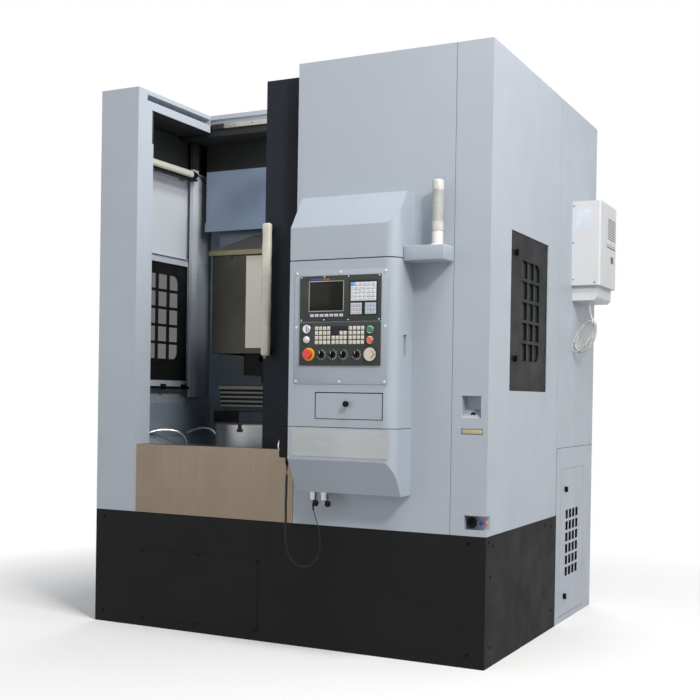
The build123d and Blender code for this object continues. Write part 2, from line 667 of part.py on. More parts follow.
def electric_cabinet():
    """Return the upper shell with its mounting plate and drives, and the lower shell."""
    back = REAR - CABINET_DOOR - RUN_GAP
    upper = block(CABINET_LEFT, RIGHT, CABINET_FRONT, back, CABINET_LOW, HEIGHT)
    upper -= block(CABINET_LEFT + SHEET, RIGHT - SHEET, CABINET_FRONT + SHEET, back + 1,
                   CABINET_LOW + SHEET, HEIGHT - SHEET)
    for z0, z1 in ((1990, 2090), (2200, 2300)):
        upper -= block(RIGHT - 10, RIGHT + 1, COOLER_FRONT + 80, COOLER_BACK - 80, z0, z1)
    plate_back = CABINET_FRONT + SHEET + 20
    plate = block(CABINET_LEFT + 40, RIGHT - 40, plate_back - SHEET, plate_back,
                  CABINET_LOW + 40, HEIGHT - 40)
    for x in (CABINET_LEFT + 60, RIGHT - 60):
        for z in (CABINET_LOW + 80, HEIGHT - 80):
            plate += rod_y(x, z, CABINET_FRONT + SHEET, plate_back, 8)
    for index in range(4):
        x = CABINET_LEFT + 70 + index * 118
        plate += block(x, x + 96, plate_back, plate_back + 190, HEIGHT - 650, HEIGHT - 300)
    for row, z in enumerate((HEIGHT - 760, HEIGHT - 940)):
        for index in range(7):
            x = CABINET_LEFT + 70 + index * 66
            plate += block(x, x + 52, plate_back, plate_back + 80, z, z + 76)
    for z in (HEIGHT - 210, HEIGHT - 712, HEIGHT - 872, HEIGHT - 1020):
        plate += block(CABINET_LEFT + 60, RIGHT - 60, plate_back, plate_back + 50, z, z + 30)
    plate += block(CABINET_LEFT + 90, CABINET_LEFT + 330, plate_back, plate_back + 200,
                   CABINET_LOW + 110, CABINET_LOW + 320)
    plate += block(CABINET_LEFT + 380, CABINET_LEFT + 500, plate_back, plate_back + 120,
                   CABINET_LOW + 110, CABINET_LOW + 260)
    lower_back = REAR
    lower = block(CABINET_LEFT, LOWER_SIDE, LOWER_FRONT, lower_back, 0, CABINET_LOW)
    lower -= block(CABINET_LEFT + SHEET, LOWER_SIDE - SHEET, LOWER_FRONT + SHEET, lower_back - SHEET,
                   SHEET, CABINET_LOW - SHEET)
    lower -= block(LOWER_SIDE - 10, LOWER_SIDE + 1, LOWER_DOOR_FRONT, LOWER_DOOR_BACK,
                   LOWER_DOOR_LOW, LOWER_DOOR_TOP)
    return upper, plate, lower


def electric_cabinet_door():
    """Return the rear door of the electric cabinet with its handle."""
    front = REAR - CABINET_DOOR
    door = pan(CABINET_LEFT + 2, RIGHT, front, REAR, CABINET_LOW, HEIGHT, "-y")
    door += block(CABINET_LEFT + 30, CABINET_LEFT + 52, REAR, REAR + 18, 1900, 2020)
    return door


def hydraulic_unit():
    """Return the tank, motor, pump block and gauge in the lower cabinet."""
    x0, x1 = 640, 1010
    tank = block(x0, x1, 320, 760, SHEET, 330)
    tank = fillet(tank.edges().filter_by(Axis.Z), 20)
    cx, cy = (x0 + x1) / 2, 470
    tank += rod(cx, cy, 330, 360, 90)
    tank += rod(cx, cy, 360, 640, 78)
    for index in range(12):
        angle = index * 30
        fin = Pos(cx, cy, 380) * Rot(0, 0, angle) * block(70, 88, -3, 3, 0, 220)
        tank += fin
    tank += block(x0 + 60, x0 + 180, 600, 720, 330, 450)
    tank += rod(x1 - 60, 700, 330, 400, 30)
    return tank


def cooling_unit():
    """Return the cooling unit with its grille, display recess and drip tray."""
    x0, x1 = RIGHT, RIGHT + COOLER_DEPTH
    body = block(x0, x1, COOLER_FRONT, COOLER_BACK, COOLER_LOW, COOLER_TOP)
    outer_edges = body.edges().filter_by(Axis.Z).group_by(Axis.X)[-1]
    body = fillet(outer_edges, 12)
    for index in range(9):
        z = 2178 + index * 14
        body -= block(x1 - 6, x1 + 1, COOLER_FRONT + 165, COOLER_BACK - 22, z, z + 6)
    body -= block(x1 - 3, x1 + 1, COOLER_FRONT + 235, COOLER_FRONT + 305, 2045, 2085)
    body -= block(x1 - 3, x1 + 1, COOLER_FRONT + 130, COOLER_BACK - 30, 2140, 2148)
    tray = block(x0, x1 - TRAY_INSET, COOLER_FRONT + TRAY_INSET, COOLER_BACK - TRAY_INSET,
                 TRAY_LOW, COOLER_LOW)
    tray = chamfer(tray.faces().sort_by(Axis.Z)[0].edges().group_by(Axis.X)[-1], 18)
    spigot = rod(HOSE_X, HOSE_Y, TRAY_LOW - 22, TRAY_LOW, HOSE_RADIUS + 2)
    return body + tray + spigot


def drain_hose():
    """Return the straight drop of the drain hose."""
    top = TRAY_LOW - 22
    return rod(HOSE_X, HOSE_Y, COIL_TOP, top, HOSE_RADIUS)


def drain_hose_coil():
    """Return the outer shape of the coiled hose: an upright oval slab."""
    middle = (COIL_TOP + COIL_LOW) / 2
    half_height = (COIL_TOP - COIL_LOW) / 2
    outline = Ellipse(COIL_HALF_WIDTH, half_height)
    hole = Ellipse(COIL_HALF_WIDTH - 30, half_height - 30)
    ring = extrude(outline - hole, amount=COIL_THICK / 2, both=True)
    ring = Pos(COIL_X, HOSE_Y, middle) * Rot(90, 0, 0) * ring
    neck = rod(HOSE_X, HOSE_Y, COIL_TOP - 30, COIL_TOP, HOSE_RADIUS + 3)
    return ring + neck


def signal_lamp():
    """Return the bracket box, and the lamp that stands on it."""
    bracket = block(BRACKET_LEFT, BRACKET_RIGHT, BRACKET_FRONT, FRONT, BRACKET_LOW, BRACKET_TOP)
    bracket = fillet(bracket.edges().filter_by(Axis.Z).group_by(Axis.Y)[0], 6)
    lamp = rod(LAMP_X, LAMP_Y, BRACKET_TOP, BRACKET_TOP + 8, LAMP_RADIUS + 8)
    lamp += rod(LAMP_X, LAMP_Y, BRACKET_TOP, BRACKET_TOP + 70, LAMP_RADIUS - 3)
    low = BRACKET_TOP + 70
    step = (LAMP_TOP - 22 - low) / LAMP_COUNT
    for index in range(LAMP_COUNT):
        lamp += rod(LAMP_X, LAMP_Y, low + index * step, low + (index + 1) * step - 5, LAMP_RADIUS)
        lamp += rod(LAMP_X, LAMP_Y, low + (index + 1) * step - 5, low + (index + 1) * step,
                    LAMP_RADIUS - 3)
    cap = rod(LAMP_X, LAMP_Y, LAMP_TOP - 22, LAMP_TOP, LAMP_RADIUS)
    cap = fillet(cap.edges().sort_by(Axis.Z)[-1], 10)
    return bracket, lamp + cap


def housing(points, inner_points):
    """Return a hollow folded housing with its right front edge rounded."""
    body = extrude_yz(points, BOX_LEFT, BOX_RIGHT)
    cutter = block(BOX_RIGHT - BOX_CORNER, BOX_RIGHT + 1, BOX_FRONT - 1, BOX_FRONT + BOX_CORNER, 0, HEIGHT)
    cutter -= rod(BOX_RIGHT - BOX_CORNER, BOX_FRONT + BOX_CORNER, -1, HEIGHT + 1, BOX_CORNER)
    inner = extrude_yz(inner_points, BOX_LEFT + SHEET, BOX_RIGHT - SHEET)
    inner_cutter = block(BOX_RIGHT - BOX_CORNER, BOX_RIGHT + 1, BOX_FRONT - 1, BOX_FRONT + BOX_CORNER,
                         0, HEIGHT)
    inner_cutter -= rod(BOX_RIGHT - BOX_CORNER, BOX_FRONT + BOX_CORNER, -1, HEIGHT + 1,
                        BOX_CORNER - SHEET)
    return (body - cutter) - (inner - inner_cutter)


def control_support():
    """Return the hood and the lower shroud with connectors, hinge pins and pendant hook."""
    t = SHEET
    hood_outer = [(FRONT, HOOD_LOW), (BOX_FRONT, HOOD_LOW), (BOX_FRONT, HOOD_SLOPE_LOW),
                  (HOOD_LIP, HOOD_TOP), (FRONT, HOOD_TOP)]
    hood_inner = [(FRONT - t, HOOD_LOW + t), (BOX_FRONT + t, HOOD_LOW + t),
                  (BOX_FRONT + t, HOOD_SLOPE_LOW - 1), (HOOD_LIP + 1, HOOD_TOP - t),
                  (FRONT - t, HOOD_TOP - t)]
    hood = housing(hood_outer, hood_inner)
    shroud_outer = [(FRONT, SHROUD_TOP), (BOX_FRONT, SHROUD_TOP), (BOX_FRONT, SHROUD_SLOPE),
                    (SHROUD_REAR, SHROUD_LOW), (FRONT, SHROUD_LOW)]
    shroud_inner = [(FRONT - t, SHROUD_TOP - t), (BOX_FRONT + t, SHROUD_TOP - t),
                    (BOX_FRONT + t, SHROUD_SLOPE + 1), (SHROUD_REAR + 1, SHROUD_LOW + t),
                    (FRONT - t, SHROUD_LOW + t)]
    shroud = housing(shroud_outer, shroud_inner)
    pivot_x, pivot_y = BOX_LEFT + BOX_PIVOT, FRONT - 0.5 - BOX_PIVOT
    hood += rod(pivot_x, pivot_y, HOOD_LOW - 30, HOOD_LOW + t, HINGE_PIN)
    shroud += rod(pivot_x, pivot_y, SHROUD_TOP - t, SHROUD_TOP + 30, HINGE_PIN)
    for x in (CONNECTOR_X, SPARE_X):
        shroud += rod(x, CONNECTOR_Y, SHROUD_LOW - 14, SHROUD_LOW, CONNECTOR_RADIUS + 4)
        shroud += rod(x, CONNECTOR_Y, SHROUD_LOW - 42, SHROUD_LOW - 14, CONNECTOR_RADIUS)
    shroud += rod(CONNECTOR_X, CONNECTOR_Y, SHROUD_LOW - 60, SHROUD_LOW - 42, CORD_RADIUS + 2)
    shroud += rod(SPARE_X, CONNECTOR_Y, SHROUD_LOW - 56, SHROUD_LOW - 42, CONNECTOR_RADIUS - 3)
    hook = block(PENDANT_RIGHT, BOX_LEFT, PENDANT_FRONT + 20, PENDANT_BACK - 20, 1030, 1090)
    return hood, shroud + hook


def pendant_body():
    """Return the hand pendant with its strain relief."""
    body = block(PENDANT_LEFT, PENDANT_RIGHT, PENDANT_FRONT, PENDANT_BACK, PENDANT_LOW, PENDANT_TOP)
    body = fillet(body.edges().filter_by(Axis.X), 12)
    mid_x = (PENDANT_LEFT + PENDANT_RIGHT) / 2
    mid_y = (PENDANT_FRONT + PENDANT_BACK) / 2
    body += rod(mid_x, mid_y, PENDANT_LOW - 30, PENDANT_LOW, CORD_RADIUS + 2)
    body -= rod_x(mid_y, WHEEL_Z, PENDANT_LEFT - 1, PENDANT_LEFT + STEM_DEPTH, STEM_RADIUS + STEM_GAP)
    for y in (mid_y - 18, mid_y + 18):
        body += rod_x(y, WHEEL_Z + 62, PENDANT_LEFT - 12, PENDANT_LEFT, 11)
    return body


def pendant_wheel():
    """Return the pendant's hand wheel on its stem."""
    mid_y = (PENDANT_FRONT + PENDANT_BACK) / 2
    wheel = rod_x(mid_y, WHEEL_Z, PENDANT_LEFT - RUN_GAP - WHEEL_PROUD, PENDANT_LEFT - RUN_GAP,
                  WHEEL_RADIUS)
    wheel += rod_x(mid_y, WHEEL_Z, PENDANT_LEFT - RUN_GAP, PENDANT_LEFT + STEM_DEPTH - 1, STEM_RADIUS)
    wheel += rod_x(mid_y - 17, WHEEL_Z + 10, PENDANT_LEFT - WHEEL_PROUD - 12,
                   PENDANT_LEFT - WHEEL_PROUD, 5)
    return wheel


# Route of the pendant's curly cord, from the pendant down and back up to the connector
CORD_ROUTE = [
    (156.0, -1065.0, 918.0), (156.0, -1065.0, 884.0), (151.0, -1061.0, 830.0), (150.0, -1058.0, 775.0),
    (146.0, -1056.0, 718.0), (147.0, -1053.0, 660.0), (143.0, -1051.0, 602.0), (144.0, -1049.0, 548.0),
    (150.0, -1047.0, 498.0), (167.0, -1044.0, 455.0), (202.0, -1039.0, 423.0), (246.0, -1032.0, 414.0),
    (287.0, -1024.0, 434.0), (312.0, -1016.0, 476.0), (318.0, -1009.0, 528.0), (310.0, -1004.0, 584.0),
    (290.0, -1001.0, 640.0), (268.0, -1000.0, 692.0), (268.0, -1000.0, 725.0),
]


def cord_radii(points):
    """Return one arc radius for each corner of a route: 0.45 of the shorter run by half the turn."""
    radii = []
    for before, here, after in zip(points, points[1:], points[2:]):
        first = Vector(*here) - Vector(*before)
        second = Vector(*after) - Vector(*here)
        half_turn = math.radians(first.get_angle(second)) / 2
        radii.append(0.45 * min(first.length, second.length) / math.tan(half_turn))
    return radii


def pendant_cord():
    """Return the cord as one round tube along its route."""
    radii = cord_radii(CORD_ROUTE)
    path = FilletPolyline(*CORD_ROUTE, radius=radii)
    start = Vector(*CORD_ROUTE[1]) - Vector(*CORD_ROUTE[0])
    section = Plane(origin=CORD_ROUTE[0], z_dir=start) * Circle(CORD_RADIUS)
    tube = sweep(section, path=path)
    print("cord radii", [round(r) for r in radii], "length", round(path.length))
    print("cord volume ratio", round(tube.volume / (math.pi * CORD_RADIUS ** 2 * path.length), 4))
    return tube


def work_lamp():
    """Return the tubular work lamp, its brackets on the wall and the shade under it."""
    wall = LEFT + SIDE_WALL
    z = WORKLAMP_Z
    lamp = rod_y(WORKLAMP_X, z, WORKLAMP_FRONT, WORKLAMP_BACK, WORKLAMP_RADIUS)
    for y in (WORKLAMP_FRONT + 30, WORKLAMP_BACK - 60):
        lamp += block(wall - 32, WORKLAMP_X, y, y + 30, z - 18, z + 18)
    shade = block(WORKLAMP_X - 26, WORKLAMP_X + 18, WORKLAMP_FRONT, WORKLAMP_BACK + 12, z - 34, z - 22)
    lamp += shade
    lamp += rod_y(WORKLAMP_X, z, WORKLAMP_BACK, WORKLAMP_BACK + 22, 12)
    return lamp


def column():
    """Return the column casting with its rails, ball screw, brackets and z motor."""
    left = AXIS_X - COLUMN_WIDTH / 2
    right = AXIS_X + COLUMN_WIDTH / 2
    body = block(left, right, COLUMN_FRONT, COLUMN_BACK, BED_HEIGHT, COLUMN_TOP)
    pocket = (COLUMN_TOP - BED_HEIGHT - COLUMN_RIB) / COLUMN_POCKETS
    for index in range(COLUMN_POCKETS):
        low = BED_HEIGHT + COLUMN_RIB + index * pocket
        body -= block(left + 90, right - 90, COLUMN_FRONT + 120, COLUMN_BACK + 1, low,
                      low + pocket - COLUMN_RIB)
    for side in (-1, 1):
        x = AXIS_X + side * Z_RAIL_SPACING / 2
        body += block(x - Z_RAIL_WIDTH / 2, x + Z_RAIL_WIDTH / 2, COLUMN_FRONT - Z_RAIL_THICK,
                      COLUMN_FRONT, 1250, COLUMN_TOP - 20)
    body += rod(AXIS_X, SCREW_Y, 1200, COLUMN_TOP, SCREW_RADIUS)
    for z in (1200, COLUMN_TOP - 40):
        body += block(AXIS_X - 70, AXIS_X + 70, SCREW_Y - 45, COLUMN_FRONT, z, z + 40)
    body += block(AXIS_X - 65, AXIS_X + 65, SCREW_Y - 65, SCREW_Y + 65, COLUMN_TOP, COLUMN_TOP + 150)
    return body


def z_saddle():
    """Return the saddle: front plate, casting, rail carriages, nut, x rails and first leaf."""
    plate = block(SADDLE_LEFT, SADDLE_RIGHT, 0, SADDLE_PLATE, SADDLE_LOW, SADDLE_TOP)
    plate += block(SADDLE_LEFT - 5, SADDLE_RIGHT + 5, -12, 0, SADDLE_LOW, SADDLE_LOW + SADDLE_FLANGE)
    x0, x1 = AXIS_X - SADDLE_CAST_HALF, AXIS_X + SADDLE_CAST_HALF
    cast_back = SCREW_Y - 60
    body = block(x0, x1, SADDLE_PLATE, cast_back, SADDLE_CAST_LOW, SADDLE_CAST_TOP)
    body -= block(x0 + 170, x1 - 170, SADDLE_PLATE + 40, cast_back + 1, SADDLE_CAST_LOW + 60,
                  SADDLE_CAST_TOP - 60)
    body += plate
    rail_front = COLUMN_FRONT - Z_RAIL_THICK
    for side in (-1, 1):
        x = AXIS_X + side * Z_RAIL_SPACING / 2
        for z in (SADDLE_CAST_LOW + 30, SADDLE_CAST_TOP - 30 - BLOCK_HEIGHT):
            carriage = block(x - 60, x + 60, cast_back, COLUMN_FRONT - 6, z, z + BLOCK_HEIGHT)
            half = Z_RAIL_WIDTH / 2 + RUN_GAP
            carriage -= block(x - half, x + half, rail_front - RUN_GAP, COLUMN_FRONT, z - 1,
                              z + BLOCK_HEIGHT + 1)
            body += carriage
    nut_z = (SADDLE_CAST_LOW + SADDLE_CAST_TOP) / 2
    nut = rod(AXIS_X, SCREW_Y, nut_z - 60, nut_z + 60, SCREW_RADIUS + 30)
    nut += block(AXIS_X - 55, AXIS_X + 55, SADDLE_PLATE + 40, SCREW_Y, nut_z - 60, nut_z + 60)
    nut -= rod(AXIS_X, SCREW_Y, nut_z - 61, nut_z + 61, SCREW_RADIUS + STEM_GAP)
    body += nut
    for z in (X_RAIL_LOW, X_RAIL_HIGH):
        body += block(X_RAIL_LEFT, X_RAIL_RIGHT, -X_RAIL_THICK, 0, z - X_RAIL_WIDTH / 2,
                      z + X_RAIL_WIDTH / 2)
    body += leaf(0)
    return body


def leaf(index):
    """Return one leaf of the telescopic way cover; leaf 0 hangs on the saddle."""
    y = SADDLE_PLATE + index * LEAF_STEP
    low = SADDLE_LOW - (index + 1) * LEAF_PITCH
    top = low + LEAF_HEIGHT
    x0, x1 = SADDLE_LEFT, SADDLE_RIGHT
    sheet = block(x0, x1, y, y + LEAF_SHEET, low, top)
    pad_front = y - LEAF_STEP + LEAF_SHEET + RUN_GAP
    lip_front = pad_front if index else y - 8.0
    lip = block(x0, x1, lip_front, y + LEAF_SHEET, low, low + LEAF_LIP)
    lip = fillet(lip.edges().filter_by(Axis.X).group_by(Axis.Y)[0], 1.2)
    if not index:
        return sheet + lip
    return sheet + lip + block(x0, x1, pad_front, y, top - LEAF_PAD, top)


def fixed_leaf():
    """Return the lowest leaf, which hangs on the tub's rear wall."""
    back = CABIN_BACK - TUB_INSET
    low = SADDLE_LOW - (LEAF_COUNT + 1) * LEAF_PITCH
    sheet = block(OPENING_LEFT, OPENING_RIGHT, back - LEAF_SHEET, back, low, low + LEAF_HEIGHT)
    return sheet + block(OPENING_LEFT, OPENING_RIGHT, back - 4, back, low, low + LEAF_LIP)


def tool_head():
    """Return the x slide with its carriages, and the turret's arm and housing bolted to it."""
    back = -X_RAIL_THICK - RUN_GAP
    slide = block(-640, -130, -75, back, X_RAIL_LOW - 55, X_RAIL_HIGH + 45)
    slide = chamfer(slide.edges().filter_by(Axis.Y), 10)
    for z in (X_RAIL_LOW, X_RAIL_HIGH):
        for x in (-620, -270):
            pad = block(x, x + 120, back, -3, z - 42, z + 42)
            half = X_RAIL_WIDTH / 2 + RUN_GAP
            pad -= block(x - 1, x + 121, back - 1, 0, z - half, z + half)
            slide += pad
    arm = block(TURRET_X - 110, TURRET_X + 110, AXIS_Y - 90, -75, 1520, 1790)
    arm = chamfer(arm.edges().filter_by(Axis.Y), 14)
    housing_body = rod(TURRET_X, AXIS_Y, TURRET_TOP + RUN_GAP, 1810, 105)
    unit = arm + housing_body
    unit -= rod(TURRET_X, AXIS_Y, TURRET_TOP, TURRET_TOP + 62, TURRET_HUB / 2 + STEM_GAP)
    return slide, unit


def head_guard():
    """Return the sheet guard round the head with its sloped roof and the front cover."""
    x0, x1 = GUARD_LEFT, GUARD_LEFT + GUARD_WIDTH
    shell = block(x0, x1, GUARD_FRONT, GUARD_BACK, GUARD_LOW, GUARD_HIGH)
    shell -= block(x0 + SHEET, x1 - SHEET, GUARD_FRONT + SHEET, GUARD_BACK + 1,
                   GUARD_LOW - 1, GUARD_HIGH + 1)
    roof = [(GUARD_FRONT - ROOF_OVERHANG, GUARD_HIGH), (GUARD_BACK, GUARD_HIGH),
            (GUARD_BACK, GUARD_HIGH + ROOF_EAVE + ROOF_RISE),
            (GUARD_FRONT - ROOF_OVERHANG, GUARD_HIGH + ROOF_EAVE)]
    inner_front = GUARD_FRONT + SHEET
    hollow = [(inner_front, GUARD_HIGH - 1), (GUARD_BACK + 1, GUARD_HIGH - 1),
              (GUARD_BACK + 1, GUARD_HIGH + ROOF_EAVE + ROOF_RISE - SHEET),
              (inner_front, GUARD_HIGH + ROOF_EAVE)]
    cap = extrude_yz(roof, x0 - ROOF_OVERHANG, x1 + ROOF_OVERHANG)
    cap -= extrude_yz(hollow, x0 + SHEET, x1 - SHEET)
    clip = block(CLIP_X, CLIP_X + 45, GUARD_FRONT - 4, GUARD_FRONT, GUARD_HIGH - 26, GUARD_HIGH)
    cover = block(COVER_LEFT, x1, GUARD_FRONT - SHEET, GUARD_FRONT, COVER_LOW, COVER_HIGH)
    bracket_left = block(x0 + SHEET, -640, -74, -60, 1620, 1760)
    bracket_right = block(-130, x1 - SHEET, -74, -60, 1620, 1760)
    return shell + cap + clip + cover + bracket_left + bracket_right


def turret_disc():
    """Return the four-station square turret with tool bores, clamp screws and a nozzle."""
    half = TURRET_SIDE / 2
    body = block(TURRET_X - half, TURRET_X + half, AXIS_Y - half, AXIS_Y + half, TURRET_LOW, TURRET_TOP)
    body = chamfer(body.edges().filter_by(Axis.Z), 14)
    body += rod(TURRET_X, AXIS_Y, TURRET_TOP, TURRET_TOP + 60, TURRET_HUB / 2)
    for quarter in range(4):
        angle = quarter * 90
        turn = Pos(TURRET_X, AXIS_Y, 0) * Rot(0, 0, angle)
        body -= turn * rod(0, -TOOL_CIRCLE, TURRET_LOW - 1, TURRET_LOW + TOOL_DEPTH, TOOL_BORE)
        for step in range(3):
            z = TURRET_LOW + 24 + step * 34
            body += turn * rod_y(64, z, -half - 5, -half, 8)
        body -= turn * rod_y(0, RADIAL_BORE_Z, -half - 1, -half + TOOL_DEPTH, TOOL_BORE)
    tool = rod(TURRET_X, AXIS_Y - TOOL_CIRCLE, TURRET_LOW - NOZZLE_LENGTH, TURRET_LOW + TOOL_DEPTH,
               TOOL_BORE - 1)
    tool = chamfer(tool.edges().sort_by(Axis.Z)[0], 5)
    collar = rod(TURRET_X, AXIS_Y - TOOL_CIRCLE, TURRET_LOW - 6, TURRET_LOW, TOOL_BORE + 8)
    return body + tool + collar


def slot_cutter(turn):
    """Return the T-slot cutter of one jaw way."""
    top = CHUCK_TOP + 1
    neck_low = CHUCK_TOP - SLOT_NECK_DEPTH
    outer = CHUCK_RADIUS + 5
    neck = block(SLOT_INNER, outer, -SLOT_NECK / 2, SLOT_NECK / 2, neck_low - 1, top)
    head = block(SLOT_INNER, outer, -SLOT_HEAD / 2, SLOT_HEAD / 2, neck_low - SLOT_HEAD_DEPTH, neck_low)
    return Pos(AXIS_X, AXIS_Y, 0) * Rot(0, 0, turn) * (neck + head)


def pulley(radius, x, low):
    """Return a grooved pulley."""
    wheel = rod(x, AXIS_Y, low, low + PULLEY_HEIGHT, radius)
    pitch = (PULLEY_HEIGHT - 20) / PULLEY_GROOVES
    for index in range(PULLEY_GROOVES):
        z = low + 10 + (index + 0.5) * pitch
        ring = rod(x, AXIS_Y, z - 3, z + 3, radius + 1) - rod(x, AXIS_Y, z - 4, z + 4, radius - 5)
        wheel -= ring
    return wheel


def chuck_body():
    """Return the chuck body, spindle nose, spindle shaft and spindle pulley as one turned piece."""
    body = rod(AXIS_X, AXIS_Y, CHUCK_BOTTOM, CHUCK_TOP, CHUCK_RADIUS)
    rims = body.edges().filter_by(GeomType.CIRCLE)
    body = chamfer(rims, CHUCK_CHAMFER)
    for radius in (140, 200, 260):
        groove = rod(AXIS_X, AXIS_Y, CHUCK_TOP - 1.5, CHUCK_TOP + 1, radius + 1)
        body -= groove - rod(AXIS_X, AXIS_Y, CHUCK_TOP - 3, CHUCK_TOP + 2, radius - 1)
    for index in range(JAW_COUNT):
        body -= slot_cutter(FIRST_SLOT + index * 360 / JAW_COUNT)
    for index in range(JAW_COUNT):
        turn = FIRST_SLOT + 60 + index * 360 / JAW_COUNT
        bolt = Pos(AXIS_X, AXIS_Y, 0) * Rot(0, 0, turn) * rod(115, 0, CHUCK_TOP - 14, CHUCK_TOP + 1, 13)
        body -= bolt
    body += rod(AXIS_X, AXIS_Y, CHUCK_BOTTOM - NOSE_HEIGHT, CHUCK_BOTTOM, NOSE_RADIUS)
    body += rod(AXIS_X, AXIS_Y, PULLEY_LOW, CHUCK_BOTTOM, SHAFT_RADIUS - SHAFT_GAP)
    body += pulley(PULLEY_RADIUS, AXIS_X, PULLEY_LOW)
    body -= rod(AXIS_X, AXIS_Y, PULLEY_LOW - 1, CHUCK_TOP + 1, BORE_RADIUS)
    body -= rod(AXIS_X, AXIS_Y, CHUCK_TOP - PILOT_DEPTH, CHUCK_TOP + 1, PILOT_RADIUS)
    return body


def jaw(index):
    """Return one base jaw: a T-shaped bar with two tapped holes and a serrated top."""
    top = CHUCK_TOP
    neck_low = CHUCK_TOP - SLOT_NECK_DEPTH
    outer = JAW_INNER + JAW_LENGTH
    neck_half = SLOT_NECK / 2 - JAW_GAP
    head_half = SLOT_HEAD / 2 - JAW_GAP
    bar = block(JAW_INNER, outer, -neck_half, neck_half, neck_low - JAW_GAP - 1, top)
    bar += block(JAW_INNER, outer, -head_half, head_half, neck_low - SLOT_HEAD_DEPTH + JAW_GAP,
                 neck_low - JAW_GAP)
    for step in range(6):
        x = JAW_INNER + 14 + step * 26
        bar -= block(x, x + 3, -neck_half - 1, neck_half + 1, top - 2, top + 1)
    for x in (JAW_INNER + 48, JAW_INNER + 112):
        bar -= rod(x, 0, top - 20, top + 1, 7)
    return Pos(AXIS_X, AXIS_Y, 0) * Rot(0, 0, FIRST_SLOT + index * 360 / JAW_COUNT) * bar


def spindle_motor():
    """Return the spindle motor on its mounting plate."""
    low = MOTOR_PLATE_LOW
    top = low + MOTOR_PLATE
    plate = block(BED_RIGHT, MOTOR_X + MOTOR_RADIUS + 20, AXIS_Y - MOTOR_RADIUS - 20,
                  AXIS_Y + MOTOR_RADIUS + 20, low, top)
    plate += rod(MOTOR_X, AXIS_Y, top, top + MOTOR_HEIGHT, MOTOR_RADIUS)
    for index in range(5):
        z = top + 40 + index * 45
        ring = rod(MOTOR_X, AXIS_Y, z, z + 14, MOTOR_RADIUS + 1)
        plate -= ring - rod(MOTOR_X, AXIS_Y, z - 1, z + 15, MOTOR_RADIUS - 10)
    plate += block(MOTOR_X + MOTOR_RADIUS - 20, MOTOR_X + MOTOR_RADIUS + 50, AXIS_Y - 50, AXIS_Y + 50,
                   top + 100, top + 200)
    plate -= rod(MOTOR_X, AXIS_Y, low - 1, top + 40, MOTOR_SHAFT + STEM_GAP)
    return plate


def motor_pulley():
    """Return the motor pulley on its shaft."""
    wheel = pulley(PULLEY_RADIUS * MOTOR_RATIO, MOTOR_X, PULLEY_LOW)
    return wheel + rod(MOTOR_X, AXIS_Y, PULLEY_LOW, MOTOR_PLATE_LOW + MOTOR_PLATE + 38, MOTOR_SHAFT)


def belt_outline(grow):
    """Return the closed face round both pulleys, grown outwards by a distance."""
    big = PULLEY_RADIUS + grow
    small = PULLEY_RADIUS * MOTOR_RATIO + grow
    span = MOTOR_X - AXIS_X
    tilt = math.asin((big - small) / span)
    sin_t, cos_t = math.sin(tilt), math.cos(tilt)
    big_face = Pos(AXIS_X, AXIS_Y) * Circle(big)
    small_face = Pos(MOTOR_X, AXIS_Y) * Circle(small)
    corners = [(AXIS_X + big * sin_t, AXIS_Y + big * cos_t), (MOTOR_X + small * sin_t, AXIS_Y + small * cos_t),
               (MOTOR_X + small * sin_t, AXIS_Y - small * cos_t), (AXIS_X + big * sin_t, AXIS_Y - big * cos_t)]
    return big_face + small_face + make_face(Polyline(corners, close=True))


def drive_belt():
    """Return the drive belt, a closed band round both pulleys."""
    band = belt_outline(RUN_GAP + BELT_THICK) - belt_outline(RUN_GAP)
    return Pos(0, 0, PULLEY_LOW + 10) * extrude(band, amount=PULLEY_HEIGHT - 20)


def sliding_door():
    """Return the L-shaped door with its rail carriages, and its pane."""
    x0, x1 = DOOR_LEFT, DOOR_LEFT + DOOR_WIDTH
    back = DOOR_FRONT + DOOR_THICK
    panel = pan(x0, x1, DOOR_FRONT, back, DOOR_BOTTOM, DOOR_TOP, "+y")
    gx0, gx1 = x0 + GLASS_LEFT, x0 + GLASS_LEFT + GLASS_WIDTH
    gz0, gz1 = GLASS_BOTTOM, GLASS_BOTTOM + GLASS_HEIGHT
    panel += block(gx0 - 15, gx1 + 15, DOOR_FRONT, back, gz0 - 15, gz1 + 15)
    panel -= block(gx0, gx1, DOOR_FRONT - 1, back + 1, gz0, gz1)
    panel += block(x0, x1, back - SHEET, COVER_REAR, DOOR_TOP - COVER_THICK, DOOR_TOP)
    for x in (x0 + 60, x1 - 60 - CARRIAGE_LENGTH):
        panel += block(x, x + CARRIAGE_LENGTH, COVER_REAR - CARRIAGE_DEPTH, COVER_REAR,
                       RAIL_LOW + 2, DOOR_TOP - COVER_THICK)
        panel += block(x, x + CARRIAGE_LENGTH, COVER_REAR, LINTEL_FRONT - RUN_GAP,
                       RAIL_LOW + 2, RAIL_LOW + RAIL_HEIGHT - 2)
    middle = (DOOR_FRONT + back) / 2
    pane = block(gx0, gx1, middle - GLASS_THICK / 2, middle + GLASS_THICK / 2, gz0, gz1)
    return panel, pane


def door_handle():
    """Return the bow handle of the sliding door."""
    x0, x1 = HANDLE_X, HANDLE_X + HANDLE_WIDTH
    front = DOOR_FRONT - HANDLE_GAP - HANDLE_DEPTH
    bar = block(x0, x1, front, front + HANDLE_DEPTH, HANDLE_LOW, HANDLE_HIGH)
    bar = fillet(bar.edges().filter_by(Axis.Z), 7)
    for z in (HANDLE_LOW + 20, HANDLE_HIGH - 20 - HANDLE_FOOT):
        bar += block(x0 + 8, x1 - 8, front + HANDLE_DEPTH - 5, DOOR_FRONT, z, z + HANDLE_FOOT)
    return bar


